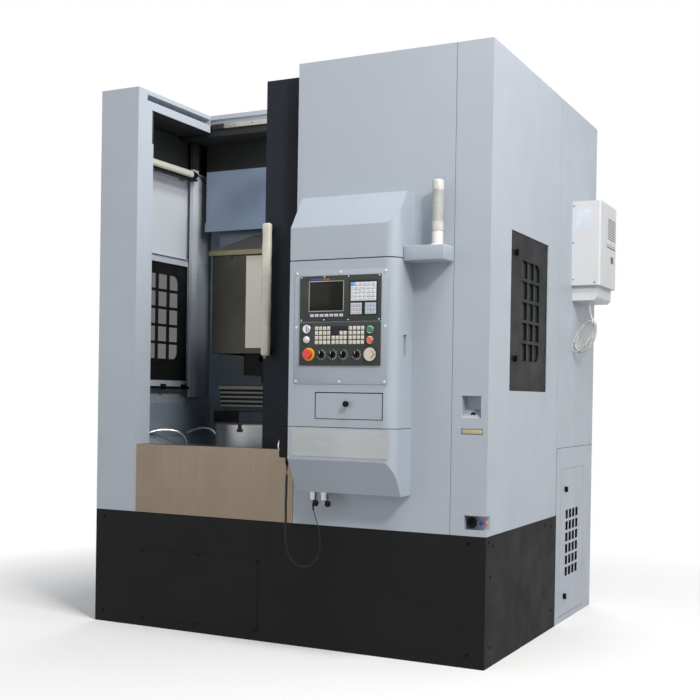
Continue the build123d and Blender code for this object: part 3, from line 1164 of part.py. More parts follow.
def window_door(front, side, grid_width=GRID_WIDTH, grid_low=GRID_LOW):
    """Return a window door with its grid of cut-outs, and its pane.

    side is 1 for the right wall and -1 for the left wall.
    """
    wall = RIGHT * side
    outer = wall - side * WINDOW_RECESS
    inner = outer - side * WINDOW_THICK
    low_x, high_x = min(outer, inner), max(outer, inner)
    y0, y1 = front + WINDOW_GAP, front + WINDOW_WIDTH - HINGE_GAP
    z0, z1 = WINDOW_LOW + WINDOW_GAP, WINDOW_LOW + WINDOW_HEIGHT - WINDOW_GAP
    door = block(low_x, high_x, y0, y1, z0, z1)
    cell_y = (grid_width + GRID_BAR) / GRID_COLUMNS
    cell_z = (GRID_HEIGHT + GRID_BAR) / GRID_ROWS
    for column_index in range(GRID_COLUMNS):
        for row in range(GRID_ROWS):
            gy = front + GRID_OFFSET + column_index * cell_y
            gz = WINDOW_LOW + grid_low + row * cell_z
            hole = block(low_x - 1, high_x + 1, gy, gy + cell_y - GRID_BAR, gz, gz + cell_z - GRID_BAR)
            if column_index == GRID_COLUMNS - 1 and row in (0, GRID_ROWS - 1):
                along_x = hole.edges().filter_by(Axis.X)
                rear = along_x.sort_by(Axis.Y)[2:]
                hole = fillet(rear.sort_by(Axis.Z)[0 if row == 0 else -1], GRID_CORNER * 2)
            door -= hole
    for z in (front_latch_z(0), front_latch_z(1)):
        door -= rod_x(front + LATCH_OFFSET, z, low_x - 1, high_x + 1, STEM_RADIUS + STEM_GAP)
    pane_x = inner - side * PANE_THICK
    pane = block(min(inner, pane_x), max(inner, pane_x), front + GRID_OFFSET - 25,
                 front + GRID_OFFSET + grid_width + 25, WINDOW_LOW + grid_low - 25,
                 WINDOW_LOW + grid_low + GRID_HEIGHT + 25)
    return door, pane


def front_latch_z(which):
    """Return the height of the lower (0) or upper (1) latch of a window door."""
    return WINDOW_LOW + (LATCH_LOW, LATCH_HIGH)[which]


def latch(y, z, face_x, depth):
    """Return a quarter-turn latch on the right side: rosette, grip and stem."""
    body = rod_x(y, z, face_x + RUN_GAP, face_x + RUN_GAP + 6, LATCH_RADIUS)
    body += block(face_x + RUN_GAP, face_x + LATCH_PROUD, y - 5, y + 5, z - LATCH_RADIUS, z + LATCH_RADIUS)
    body += rod_x(y, z, face_x - depth, face_x + 1, STEM_RADIUS)
    return body


def lower_cabinet_door():
    """Return the lower cabinet's door with its slots."""
    x0, x1 = RIGHT - FOLD + 7, RIGHT
    gap = WINDOW_GAP
    door = pan(x0, x1, LOWER_DOOR_FRONT + gap, LOWER_DOOR_BACK - HINGE_GAP, LOWER_DOOR_LOW + gap,
               LOWER_DOOR_TOP - gap, "-x")
    pitch_y = LOUVRE_WIDTH / LOUVRE_COLUMNS
    pitch_z = LOUVRE_HEIGHT / LOUVRE_ROWS
    for column_index in range(LOUVRE_COLUMNS):
        for row in range(LOUVRE_ROWS):
            y = LOUVRE_FRONT + column_index * pitch_y
            z = LOUVRE_LOW + row * pitch_z
            door -= block(x1 - 5, x1 + 1, y, y + LOUVRE_LENGTH, z, z + LOUVRE_SLOT)
    for z in (140, 745):
        boss = rod_x(360, z, x1 - 14, x1 - SHEET, 16)
        door += boss
        door -= rod_x(360, z, x1 - 15, x1 + 1, STEM_RADIUS + STEM_GAP)
    return door


def control_box():
    """Return the swinging control box with its drawer bay and its finger slot."""
    back = FRONT - 0.5
    body = block(BOX_LEFT, BOX_RIGHT, BOX_FRONT, back, BOX_LOW, BOX_TOP)
    edges = body.edges().filter_by(Axis.Z)
    right_front = edges.group_by(Axis.X)[-1].sort_by(Axis.Y)[0]
    left_back = edges.group_by(Axis.X)[0].sort_by(Axis.Y)[-1]
    body = fillet(right_front, BOX_CORNER)
    body = fillet(body.edges().filter_by(Axis.Z).group_by(Axis.X)[0].sort_by(Axis.Y)[-1], BOX_PIVOT - 0.2)
    t = SHEET
    inner = block(BOX_LEFT + t, BOX_RIGHT - t, BOX_FRONT + t, back - t, BOX_LOW + t, BOX_TOP - t)
    inner -= block(BOX_LEFT, BOX_LEFT + 45, back - 45, back, BOX_LOW, BOX_TOP)
    inner = fillet(inner.edges().filter_by(Axis.Z).group_by(Axis.X)[-1].sort_by(Axis.Y)[0], BOX_CORNER - t)
    body -= inner
    pivot_x, pivot_y = BOX_LEFT + BOX_PIVOT, FRONT - 0.5 - BOX_PIVOT
    for z0, z1 in ((BOX_LOW - 1, BOX_LOW + 31), (BOX_TOP - 31, BOX_TOP + 1)):
        body -= rod(pivot_x, pivot_y, z0, z1, HINGE_PIN + STEM_GAP)
    y0 = SIDE_SLOT_Y - SIDE_SLOT_WIDTH / 2
    y1 = SIDE_SLOT_Y + SIDE_SLOT_WIDTH / 2
    z0, z1 = SIDE_SLOT_LOW, SIDE_SLOT_LOW + SIDE_SLOT_HEIGHT
    body += block(BOX_RIGHT - SIDE_SLOT_DEPTH - t, BOX_RIGHT - t, y0 - t, y1 + t, z0 - t, z1 + t)
    body -= block(BOX_RIGHT - SIDE_SLOT_DEPTH, BOX_RIGHT + 1, y0, y1, z0, z1)
    bay_back = BOX_FRONT + DRAWER_DEPTH + 4
    gap = DRAWER_GAP
    body += block(DRAWER_LEFT - t, DRAWER_RIGHT + t, BOX_FRONT + t, bay_back + t,
                  DRAWER_LOW - t, DRAWER_TOP + t)
    body -= block(DRAWER_LEFT, DRAWER_RIGHT, BOX_FRONT - 1, bay_back, DRAWER_LOW, DRAWER_TOP)
    return body


def control_drawer():
    """Return the drawer with its front and black knob."""
    gap = DRAWER_GAP
    x0, x1 = DRAWER_LEFT + gap, DRAWER_RIGHT - gap
    z0, z1 = DRAWER_LOW + RUN_GAP, DRAWER_TOP - gap
    t = DRAWER_WALL
    tray = block(x0, x1, BOX_FRONT, BOX_FRONT + DRAWER_DEPTH, z0, z1)
    tray -= block(x0 + t, x1 - t, BOX_FRONT + t, BOX_FRONT + DRAWER_DEPTH - t, z0 + t, z1 + 1)
    knob = rod_y(KNOB_X, KNOB_Z, BOX_FRONT - 16, BOX_FRONT, KNOB_RADIUS * 0.5)
    knob += rod_y(KNOB_X, KNOB_Z, BOX_FRONT - 24, BOX_FRONT - 12, KNOB_RADIUS)
    return tray + knob


def control_panel():
    """Return the screwed plate with the display unit and the operator unit."""
    face = BOX_FRONT - PLATE_THICK
    unit_face = face - UNIT_THICK
    plate = block(PLATE_LEFT, PLATE_RIGHT, face, BOX_FRONT, PLATE_LOW, PLATE_TOP)
    for x in (PLATE_LEFT + 12, (PLATE_LEFT + PLATE_RIGHT) / 2, PLATE_RIGHT - 12):
        for z in (PLATE_LOW + 12, (PLATE_LOW + PLATE_TOP) / 2, PLATE_TOP - 12):
            if x != (PLATE_LEFT + PLATE_RIGHT) / 2 or z != (PLATE_LOW + PLATE_TOP) / 2:
                plate += rod_y(x, z, face - 3, face, 5)
    right = UNIT_LEFT + UNIT_WIDTH
    plate += block(UNIT_LEFT, right, unit_face, face, DISPLAY_LOW, DISPLAY_LOW + DISPLAY_HEIGHT)
    plate += block(UNIT_LEFT, right, unit_face, face, OPERATOR_LOW, OPERATOR_LOW + OPERATOR_HEIGHT)
    plate -= block(SCREEN_LEFT, SCREEN_LEFT + SCREEN_WIDTH, unit_face - 1, unit_face + 3, SCREEN_LOW,
                   SCREEN_LOW + SCREEN_HEIGHT)
    key_rows = [(524, 657, 6, 1692, 1780, 4), (524, 583, 3, 1632, 1680, 2), (599, 657, 3, 1632, 1680, 2),
                (309, 487, 7, 1622, 1638, 1), (335, 421, 4, 1500, 1572, 4), (425, 508, 4, 1500, 1572, 4),
                (514, 599, 4, 1500, 1572, 4)]
    for x0, x1, columns, z0, z1, rows in key_rows:
        step_x = (x1 - x0) / columns
        step_z = (z1 - z0) / rows
        for column_index in range(columns):
            for row in range(rows):
                x = x0 + column_index * step_x + 2
                z = z0 + row * step_z + 2
                plate += block(x, x + step_x - 4, unit_face - KEY_RISE, unit_face, z, z + step_z - 4)
    plate += rod_y(ESTOP_X, ESTOP_Z, unit_face - 4, unit_face, COLLAR_RADIUS)
    for z in (START_Z, STOP_Z):
        plate += rod_y(BUTTON_X, z, unit_face - 3, unit_face, BEZEL_RADIUS)
    plate += rod_y(KEY_X, LAMP_Z, unit_face - 6, unit_face, BUTTON_RADIUS)
    plate += rod_y(KEY_X, KEY_Z, unit_face - 3, unit_face, BUTTON_RADIUS + 2)
    holes = [(ESTOP_X, ESTOP_Z), (BUTTON_X, START_Z), (BUTTON_X, STOP_Z), (KEY_X, KEY_Z),
             (DIAL_X, SELECTOR_Z)]
    holes += [(x, SELECTOR_Z) for x in SELECTOR_XS]
    for x, z in holes:
        plate -= rod_y(x, z, unit_face - 10, BOX_FRONT + 1, STEM_RADIUS + STEM_GAP)
    return plate


def press_button(x, z, radius, bezel, proud):
    """Return a push button: cap, and stem through the panel."""
    face = BOX_FRONT - PLATE_THICK - UNIT_THICK - bezel
    travel = ESTOP_TRAVEL if radius == ESTOP_RADIUS else BUTTON_TRAVEL
    cap_back = face - travel - RUN_GAP
    cap = rod_y(x, z, cap_back - proud, cap_back, radius)
    cap = fillet(cap.edges().filter_by(GeomType.CIRCLE).sort_by(Axis.Y)[0], 2.5)
    return cap + rod_y(x, z, cap_back, BOX_FRONT - RUN_GAP - travel, STEM_RADIUS)


def turn_knob(x, z, radius, proud, bezel, grip):
    """Return a rotary knob: skirt, grip bar and stem."""
    face = BOX_FRONT - PLATE_THICK - UNIT_THICK - bezel - RUN_GAP
    body = rod_y(x, z, face - proud, face, radius)
    if grip:
        body += block(x - 4, x + 4, face - proud - 9, face - proud, z - radius + 1, z + radius - 1)
    else:
        body += rod_y(x, z, face - proud - 6, face - proud, radius * 0.55)
        body += rod_y(x + radius * 0.6, z, face - proud - 9, face - proud, 4)
    return body + rod_y(x, z, face, BOX_FRONT - RUN_GAP, STEM_RADIUS)


save("bed_casting", bed_casting())
save("base_skirt", *base_skirt())
save("left_pillar", *left_pillar())
save("rear_lintel", *rear_lintel())
save("cabin_walls", *cabin_walls())
save("left_side_panel", left_side_panel())
save("right_side_panel", right_side_panel())
save("splash_sill", splash_sill())
save("main_front_panel", *main_front_panel())
save("roof_and_rear_panels", *roof_and_rear())
*tub, tub_legs = cabin_tub()
save("cabin_tub", *tub, fixed_leaf(), *tub_legs)
save("electric_cabinet", *electric_cabinet())
save("electric_cabinet_door", electric_cabinet_door())
save("hydraulic_unit", hydraulic_unit())
save("cooling_unit", cooling_unit())
save("drain_hose", drain_hose())
save("drain_hose_coil", drain_hose_coil())
save("signal_lamp", *signal_lamp())
save("control_support", *control_support())
save("pendant_body", pendant_body())
save("pendant_wheel", pendant_wheel())
save("pendant_cord", pendant_cord())
save("work_lamp", work_lamp())
save("column", column())
save("z_saddle", z_saddle())
for number in range(1, LEAF_COUNT):
    save(f"way_cover_{number}", leaf(number))
save("tool_head", *tool_head())
save("head_guard", head_guard())
save("turret_disc", turret_disc())
save("chuck_body", chuck_body())
for number in range(JAW_COUNT):
    save(f"jaw_{number + 1}", jaw(number))
save("spindle_motor", spindle_motor())
save("motor_pulley", motor_pulley())
save("drive_belt", drive_belt())
save("sliding_door", *sliding_door())
save("door_handle", door_handle())
save("right_window_door", *window_door(RIGHT_WINDOW_FRONT, 1))
save("left_window_door", *window_door(LEFT_WINDOW_FRONT, -1, LEFT_GRID_WIDTH, LEFT_GRID_LOW))
window_face = RIGHT - WINDOW_RECESS
latch_y = RIGHT_WINDOW_FRONT + LATCH_OFFSET
for which, label in ((0, "lower"), (1, "upper")):
    save(f"window_latch_{label}", latch(latch_y, front_latch_z(which), window_face, WINDOW_THICK - 1))
save("lower_cabinet_door", lower_cabinet_door())
for label, height in (("lower", 140), ("upper", 745)):
    save(f"cabinet_latch_{label}", latch(360, height, RIGHT, 13))
save("control_box", control_box())
save("control_drawer", control_drawer())
save("control_panel", control_panel())
save("estop_button", press_button(ESTOP_X, ESTOP_Z, ESTOP_RADIUS, 4, 14))
save("start_button", press_button(BUTTON_X, START_Z, BUTTON_RADIUS, 3, 6))
save("stop_button", press_button(BUTTON_X, STOP_Z, BUTTON_RADIUS, 3, 6))
save("key_switch", turn_knob(KEY_X, KEY_Z, BUTTON_RADIUS, 6, 3, True))
for number, place in enumerate(SELECTOR_XS):
    save(f"selector_{number + 1}", turn_knob(place, SELECTOR_Z, SELECTOR_RADIUS, 9, 0, True))
save("override_dial", turn_knob(DIAL_X, SELECTOR_Z, DIAL_RADIUS, 12, 0, False))
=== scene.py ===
"""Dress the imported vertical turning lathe: finishes, fittings, leads, studio and camera."""

from __future__ import annotations

import json
import logging
import math
from dataclasses import dataclass
from enum import Enum
from typing import Iterable, Sequence, Union

import bpy
from mathutils import Matrix, Vector

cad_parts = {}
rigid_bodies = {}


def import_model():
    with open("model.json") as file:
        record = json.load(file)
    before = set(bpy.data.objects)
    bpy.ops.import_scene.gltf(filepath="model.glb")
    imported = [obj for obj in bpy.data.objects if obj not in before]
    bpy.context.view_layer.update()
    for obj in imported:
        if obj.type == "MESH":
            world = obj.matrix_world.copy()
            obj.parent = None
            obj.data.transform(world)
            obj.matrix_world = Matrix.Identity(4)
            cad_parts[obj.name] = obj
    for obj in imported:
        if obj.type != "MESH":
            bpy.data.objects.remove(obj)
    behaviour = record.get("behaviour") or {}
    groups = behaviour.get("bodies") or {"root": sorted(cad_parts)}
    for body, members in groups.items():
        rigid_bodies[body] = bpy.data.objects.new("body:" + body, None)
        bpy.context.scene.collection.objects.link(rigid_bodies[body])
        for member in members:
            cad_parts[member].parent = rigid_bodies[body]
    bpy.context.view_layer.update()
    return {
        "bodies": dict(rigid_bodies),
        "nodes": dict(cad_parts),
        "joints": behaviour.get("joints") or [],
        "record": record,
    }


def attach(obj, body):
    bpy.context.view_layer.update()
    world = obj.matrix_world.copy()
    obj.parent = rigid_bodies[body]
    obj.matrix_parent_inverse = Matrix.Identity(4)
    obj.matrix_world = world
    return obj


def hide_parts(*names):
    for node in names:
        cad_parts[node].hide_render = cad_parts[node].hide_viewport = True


log = logging.getLogger("vertical_lathe")
Point = tuple[float, float, float]
Socket = bpy.types.NodeSocket
Value = Union[float, Socket]
Limits = tuple[Union[float, None], ...]
CURVE_STEPS = 6
SELECTOR_PLACES = (0.372, 0.431, 0.488, 0.558)


class Axis(Enum):
    """The row axis that a turned piece, a brushing or a row of pieces follows."""

    X = 0
    Y = 1
    Z = 2


class Body(Enum):
    """The moving bodies that new pieces ride on."""

    MACHINE = "machine"
    DOOR = "sliding_door"
    BOX = "control_box"
    DRAWER = "control_drawer"
    RIGHT_WINDOW = "right_window_door"
    LEFT_WINDOW = "left_window_door"
    WHEEL = "pendant_wheel"
    SELECTOR_1 = "selector_1"
    SELECTOR_2 = "selector_2"
    SELECTOR_3 = "selector_3"
    SELECTOR_4 = "selector_4"


def linear(red: int, green: int, blue: int) -> tuple[float, float, float, float]:
    """Turn a colour as seen on screen into the shader's own numbers.

    Args:
        red: red from 0 to 255.
        green: green from 0 to 255.
        blue: blue from 0 to 255.

    Returns:
        The colour with an alpha of 1.
    """

    def channel(value: int) -> float:
        """Turn one channel."""
        part = value / 255
        return part / 12.92 if part <= 0.04045 else ((part + 0.055) / 1.055) ** 2.4

    return (channel(red), channel(green), channel(blue), 1.0)


@dataclass
class Layer:
    """What one finish hands to the shader: colour, roughness, metal and relief."""

    colour: Socket
    roughness: Value
    metallic: Value
    height: Socket | None = None
    relief: float = 0.0005


class Graph:
    """A material's node tree, with a short call for each node that the finishes use."""

    def __init__(self, name: str) -> None:
        """Start an empty material.

        Args:
            name: the material's name.
        """
        self.material = bpy.data.materials.new(name)
        self.material.use_nodes = True
        self.tree = self.material.node_tree
        self.shader = self.tree.nodes["Principled BSDF"]

    def feed(self, socket: Socket, value: object) -> None:
        """Link a socket into another, or set its own value.

        Args:
            socket: the input to feed.
            value: an output socket, a number or a vector.
        """
        if isinstance(value, bpy.types.NodeSocket):
            self.tree.links.new(value, socket)
        else:
            socket.default_value = value

    def place(self, scale: Point = (1, 1, 1), centre: Point = (0, 0, 0)) -> Socket:
        """Give Object coordinates, moved to a centre and stretched.

        Args:
            scale: the stretch along each axis.
            centre: the point that becomes the pattern's origin.

        Returns:
            The vector socket.
        """
        coordinate = self.tree.nodes.new("ShaderNodeTexCoord")
        shift = self.tree.nodes.new("ShaderNodeMapping")
        shift.inputs["Location"].default_value = [-part for part in centre]
        self.tree.links.new(coordinate.outputs["Object"], shift.inputs["Vector"])
        stretch = self.tree.nodes.new("ShaderNodeMapping")
        stretch.inputs["Scale"].default_value = scale
        self.tree.links.new(shift.outputs["Vector"], stretch.inputs["Vector"])
        return stretch.outputs["Vector"]

    def noise(self, vector: Socket, scale: float, detail: float = 4.0, rough: float = 0.55) -> Socket:
        """Give a noise pattern from 0 to 1.

        Args:
            vector: the coordinates to read.
            scale: how fine the pattern is.
            detail: how many finer patterns lie over it.
            rough: how strong the finer patterns are.

        Returns:
            The pattern's socket.
        """
        node = self.tree.nodes.new("ShaderNodeTexNoise")
        node.inputs["Scale"].default_value = scale
        node.inputs["Detail"].default_value = detail
        node.inputs["Roughness"].default_value = rough
        self.tree.links.new(vector, node.inputs["Vector"])
        return node.outputs["Fac"]

    def spread(self, factor: Socket, low: float, high: float, start: float = 0.3,
               end: float = 0.7) -> Socket:
        """Map a pattern between two values, with its middle stretched out.

        Args:
            factor: the pattern.
            low: the value at the start and below.
            high: the value at the end and above.
            start: where the pattern starts to count.
            end: where it stops.

        Returns:
            The mapped value's socket.
        """
        node = self.tree.nodes.new("ShaderNodeMapRange")
        node.inputs["From Min"].default_value = start
        node.inputs["From Max"].default_value = end
        node.inputs["To Min"].default_value = low
        node.inputs["To Max"].default_value = high
        self.tree.links.new(factor, node.inputs["Value"])
        return node.outputs["Result"]

    def mix(self, factor: Value, first: object, second: object) -> Socket:
        """Mix two colours by a factor.

        Args:
            factor: 0 for the first colour and 1 for the second.
            first: a colour or its socket.
            second: a colour or its socket.

        Returns:
            The mixed colour's socket.
        """
        node = self.tree.nodes.new("ShaderNodeMix")
        node.data_type = "RGBA"
        self.feed(node.inputs[0], factor)
        self.feed(node.inputs[6], first)
        self.feed(node.inputs[7], second)
        return node.outputs[2]

    def sum(self, operation: str, first: Value, second: Value = 0.0) -> Socket:
        """Combine two numbers with a Math node.

        Args:
            operation: the Math node's operation.
            first: the first number.
            second: the second number, where the operation has one.

        Returns:
            The result's socket.
        """
        node = self.tree.nodes.new("ShaderNodeMath")
        node.operation = operation
        self.feed(node.inputs[0], first)
        self.feed(node.inputs[1], second)
        return node.outputs[0]

    def parts(self, vector: Socket) -> tuple[Socket, Socket, Socket]:
        """Split a vector into its three numbers.

        Args:
            vector: the vector's socket.

        Returns:
            The sockets of X, Y and Z.
        """
        node = self.tree.nodes.new("ShaderNodeSeparateXYZ")
        self.tree.links.new(vector, node.inputs[0])
        return node.outputs[0], node.outputs[1], node.outputs[2]

    def inside(self, low: Limits, high: Limits) -> Value:
        """Give 1 inside a box and 0 outside.

        Args:
            low: the box's lowest corner, with None for a side that is open.
            high: its highest corner, with None for a side that is open.

        Returns:
            The factor's socket.
        """
        places = self.parts(self.place())
        total: Value = 1.0
        for place, start, end in zip(places, low, high):
            if start is not None:
                total = self.sum("MULTIPLY", total, self.sum("GREATER_THAN", place, start))
            if end is not None:
                total = self.sum("MULTIPLY", total, self.sum("LESS_THAN", place, end))
        return total


@dataclass(frozen=True)
class Finish:
    """A surface finish: each kind works out its own layer."""

    name: str
    colour: tuple[int, int, int]

    def layer(self, graph: Graph) -> Layer:
        """Work out the finish's layer in a node tree."""
        raise NotImplementedError

    def special(self, graph: Graph) -> None:
        """Set the shader sockets that only this finish needs."""

    def material(self) -> bpy.types.Material:
        """Build the material once and hand out the same one after that.

        Returns:
            The material.
        """
        label = f"look_{self.name}"
        known = bpy.data.materials.get(label)
        if known is not None:
            return known
        graph = Graph(label)
        layer = self.layer(graph)
        shader = graph.shader
        graph.feed(shader.inputs["Base Color"], layer.colour)
        graph.feed(shader.inputs["Roughness"], layer.roughness)
        graph.feed(shader.inputs["Metallic"], layer.metallic)
        if layer.height is not None:
            bump = graph.tree.nodes.new("ShaderNodeBump")
            bump.inputs["Strength"].default_value = 0.5
            bump.inputs["Distance"].default_value = layer.relief
            graph.feed(bump.inputs["Height"], layer.height)
            graph.feed(shader.inputs["Normal"], bump.outputs["Normal"])
        self.special(graph)
        return graph.material


@dataclass(frozen=True)
class Paint(Finish):
    """Sprayed machine paint: slight orange peel, faint cloudiness and handling marks."""

    roughness: float = 0.42
    peel: float = 0.00025
    soil: float = 0.10

    def layer(self, graph: Graph) -> Layer:
        """Give the paint's layer.

        Args:
            graph: the material's node tree.

        Returns:
            Colour, roughness and orange peel.
        """
        base = linear(*self.colour)
        worn = tuple(part * (1 - self.soil) for part in base[:3]) + (1.0,)
        cloud = graph.spread(graph.noise(graph.place(), 1.7, 5.0), 0.0, 1.0, 0.35, 0.72)
        streak = graph.spread(graph.noise(graph.place((9, 9, 0.9)), 2.0, 6.0), 0.0, 0.55, 0.52, 0.8)
        colour = graph.mix(graph.sum("MAXIMUM", cloud, streak), base, worn)
        marks = graph.noise(graph.place(), 6.0, 6.0)
        rough = graph.spread(marks, self.roughness - 0.07, self.roughness + 0.10)
        grain = graph.noise(graph.place(), 420.0, 2.0)
        return Layer(colour, rough, 0.0, grain, self.peel)


@dataclass(frozen=True)
class Textured(Paint):
    """Coarse structure paint with fine grit, as on a dark door skin or a base skirt."""

    grit: float = 900.0

    def layer(self, graph: Graph) -> Layer:
        """Give the grit's layer over the paint's.

        Args:
            graph: the material's node tree.

        Returns:
            Speckled colour, roughness and grit.
        """
        paint = Paint.layer(self, graph)
        speck = graph.noise(graph.place(), self.grit, 1.0)
        lighter = tuple(min(1.0, part * 1.3 + 0.002) for part in linear(*self.colour)[:3]) + (1.0,)
        colour = graph.mix(graph.spread(speck, 0.0, 0.6, 0.55, 0.8), paint.colour, lighter)
        return Layer(colour, paint.roughness, 0.0, speck, 0.0006)

    def special(self, graph: Graph) -> None:
        """Keep the rough skin from shining."""
        graph.shader.inputs["Specular IOR Level"].default_value = 0.10


@dataclass(frozen=True)
class Brushed(Finish):
    """Brushed or ground metal, with fine lines along one axis and faint smears."""

    along: Axis = Axis.X
    roughness: float = 0.34
    metallic: float = 1.0

    def layer(self, graph: Graph) -> Layer:
        """Give the brushed metal's layer.

        Args:
            graph: the material's node tree.

        Returns:
            Smeared colour, roughness and fine lines.
        """
        stretch = [420.0, 420.0, 420.0]
        stretch[self.along.value] = 4.0
        lines = graph.noise(graph.place(tuple(stretch)), 1.0, 3.0, 0.7)
        smear = graph.noise(graph.place(), 3.2, 5.0)
        base = linear(*self.colour)
        dark = tuple(part * 0.72 for part in base[:3]) + (1.0,)
        lit = graph.mix(graph.spread(lines, 0.0, 0.5), base, dark)
        colour = graph.mix(graph.spread(smear, 0.0, 0.45, 0.45, 0.75), lit, dark)
        rough = graph.sum("ADD", graph.spread(lines, self.roughness - 0.06, self.roughness + 0.08),
                          graph.spread(smear, 0.0, 0.10, 0.45, 0.7))
        return Layer(colour, rough, self.metallic, lines, 0.00012)


@dataclass(frozen=True)
class Turned(Finish):
    """Turned metal, with fine rings round an upright axis and a few deeper tool marks."""

    centre: Point = (0, 0, 0)
    roughness: float = 0.30

    def layer(self, graph: Graph) -> Layer:
        """Give the turned metal's layer.

        Args:
            graph: the material's node tree.

        Returns:
            Ringed colour, roughness and tool marks.
        """
        x, y, z = graph.parts(graph.place(centre=self.centre))
        square = graph.sum("ADD", graph.sum("MULTIPLY", x, x), graph.sum("MULTIPLY", y, y))
        radius = graph.sum("SQRT", square)
        joined = graph.tree.nodes.new("ShaderNodeCombineXYZ")
        graph.feed(joined.inputs[0], radius)
        graph.feed(joined.inputs[2], z)
        rings = graph.noise(joined.outputs[0], 620.0, 3.0, 0.7)
        bands = graph.noise(joined.outputs[0], 60.0, 2.0)
        base = linear(*self.colour)
        dark = tuple(part * 0.62 for part in base[:3]) + (1.0,)
        colour = graph.mix(graph.spread(rings, 0.0, 0.45), base, dark)
        colour = graph.mix(graph.spread(bands, 0.0, 0.35), colour, dark)
        rough = graph.spread(rings, self.roughness - 0.06, self.roughness + 0.12)
        return Layer(colour, rough, 1.0, rings, 0.0002)


@dataclass(frozen=True)
class Cast(Finish):
    """A painted iron casting with a coarse skin and oil stains."""

    def layer(self, graph: Graph) -> Layer:
        """Give the casting's layer.

        Args:
            graph: the material's node tree.

        Returns:
            Stained colour, roughness and coarse skin.
        """
        skin = graph.noise(graph.place(), 120.0, 6.0, 0.65)
        stain = graph.noise(graph.place(), 2.6, 5.0)
        base = linear(*self.colour)
        dark = tuple(part * 0.6 for part in base[:3]) + (1.0,)
        colour = graph.mix(graph.spread(stain, 0.0, 0.8), base, dark)
        return Layer(colour, graph.spread(stain, 0.38, 0.62), 0.0, skin, 0.0012)


@dataclass(frozen=True)
class Moulded(Finish):
    """Moulded plastic or rubber with a fine grain; clear makes it let light through."""

    roughness: float = 0.45
    grain: float = 1400.0
    clear: float = 0.0
    shine: float = 0.5

    def layer(self, graph: Graph) -> Layer:
        """Give the plastic's layer.

        Args:
            graph: the material's node tree.

        Returns:
            Colour, roughness and fine grain.
        """
        pattern = graph.noise(graph.place(), self.grain, 1.0)
        tone = graph.noise(graph.place(), 14.0, 3.0)
        base = linear(*self.colour)
        other = tuple(part * 0.86 for part in base[:3]) + (1.0,)
        colour = graph.mix(graph.spread(tone, 0.0, 1.0), base, other)
        rough = graph.spread(tone, self.roughness - 0.05, self.roughness + 0.06)
        return Layer(colour, rough, 0.0, pattern, 0.0001)

    def special(self, graph: Graph) -> None:
        """Set how much light passes, and how much the surface shines."""
        graph.shader.inputs["Transmission Weight"].default_value = self.clear
        graph.shader.inputs["Specular IOR Level"].default_value = self.shine


@dataclass(frozen=True)
class Printed(Finish):
    """Pale keys with small printed marks, one to each key of a grid."""

    origin: tuple[float, float] = (0.0, 0.0)
    pitch: tuple[float, float] = (0.02, 0.02)
    ink: tuple[int, int, int] = (70, 74, 84)
    mark_across: tuple[float, float] = (0.30, 0.70)
    mark_up: tuple[float, float] = (0.40, 0.62)

    def band(self, graph: Graph, share: Socket, ends: tuple[float, float]) -> Socket:
        """Give 1 where a share of the key lies between two ends."""
        return graph.sum("MULTIPLY", graph.sum("GREATER_THAN", share, ends[0]),
                         graph.sum("LESS_THAN", share, ends[1]))

    def layer(self, graph: Graph) -> Layer:
        """Give the keys' layer.

        Args:
            graph: the material's node tree.

        Returns:
            The keys' colour with one printed mark on each.
        """
        x, _, z = graph.parts(graph.place(centre=(self.origin[0], 0.0, self.origin[1])))
        across = graph.sum("FRACT", graph.sum("DIVIDE", x, self.pitch[0]))
        up = graph.sum("FRACT", graph.sum("DIVIDE", z, self.pitch[1]))
        column = self.band(graph, across, self.mark_across)
        row = self.band(graph, up, self.mark_up)
        broken = graph.spread(graph.noise(graph.place(), 260.0, 2.0), 0.0, 1.0, 0.46, 0.54)
        mark = graph.sum("MULTIPLY", graph.sum("MULTIPLY", column, row), broken)
        tone = graph.noise(graph.place(), 30.0, 2.0)
        base = linear(*self.colour)
        shade = tuple(part * 0.88 for part in base[:3]) + (1.0,)
        ground = graph.mix(graph.spread(tone, 0.0, 1.0), base, shade)
        colour = graph.mix(graph.sum("MULTIPLY", mark, 0.75), ground, linear(*self.ink))
        return Layer(colour, 0.5, 0.0)


@dataclass(frozen=True)
class Zoned(Finish):
    """One finish inside a box of the object's own space, and another outside it."""

    colour: tuple[int, int, int] = (0, 0, 0)
    outer: Finish | None = None
    inner: Finish | None = None
    low: Limits = (None, None, None)
    high: Limits = (None, None, None)
    inner_alpha: float = 1.0

    def special(self, graph: Graph) -> None:
        """Let light through the inner finish where it is a clear sheet.

        Args:
            graph: the material's node tree.
        """
        self.outer.special(graph)
        if self.inner_alpha < 1:
            mask = graph.inside(self.low, self.high)
            graph.feed(graph.shader.inputs["Alpha"],
                       graph.sum("SUBTRACT", 1.0, graph.sum("MULTIPLY", mask, 1 - self.inner_alpha)))

    def layer(self, graph: Graph) -> Layer:
        """Give the two layers, mixed by the box.

        Args:
            graph: the material's node tree.

        Returns:
            The mixed colour, roughness and metal.
        """
        mask = graph.inside(self.low, self.high)
        out = self.outer.layer(graph)
        into = self.inner.layer(graph)
        colour = graph.mix(mask, out.colour, into.colour)
        rough = graph.tree.nodes.new("ShaderNodeMix")
        graph.feed(rough.inputs[0], mask)
        graph.feed(rough.inputs[2], out.roughness)
        graph.feed(rough.inputs[3], into.roughness)
        metal: Value = out.metallic
        if out.metallic != into.metallic:
            blend = graph.tree.nodes.new("ShaderNodeMix")
            graph.feed(blend.inputs[0], mask)
            graph.feed(blend.inputs[2], out.metallic)
            graph.feed(blend.inputs[3], into.metallic)
            metal = blend.outputs[0]
        return Layer(colour, rough.outputs[0], metal, out.height, out.relief)


SPINDLE: Point = (-0.385, -0.357, 0.0)
TURRET: Point = (-0.370, -0.357, 0.0)

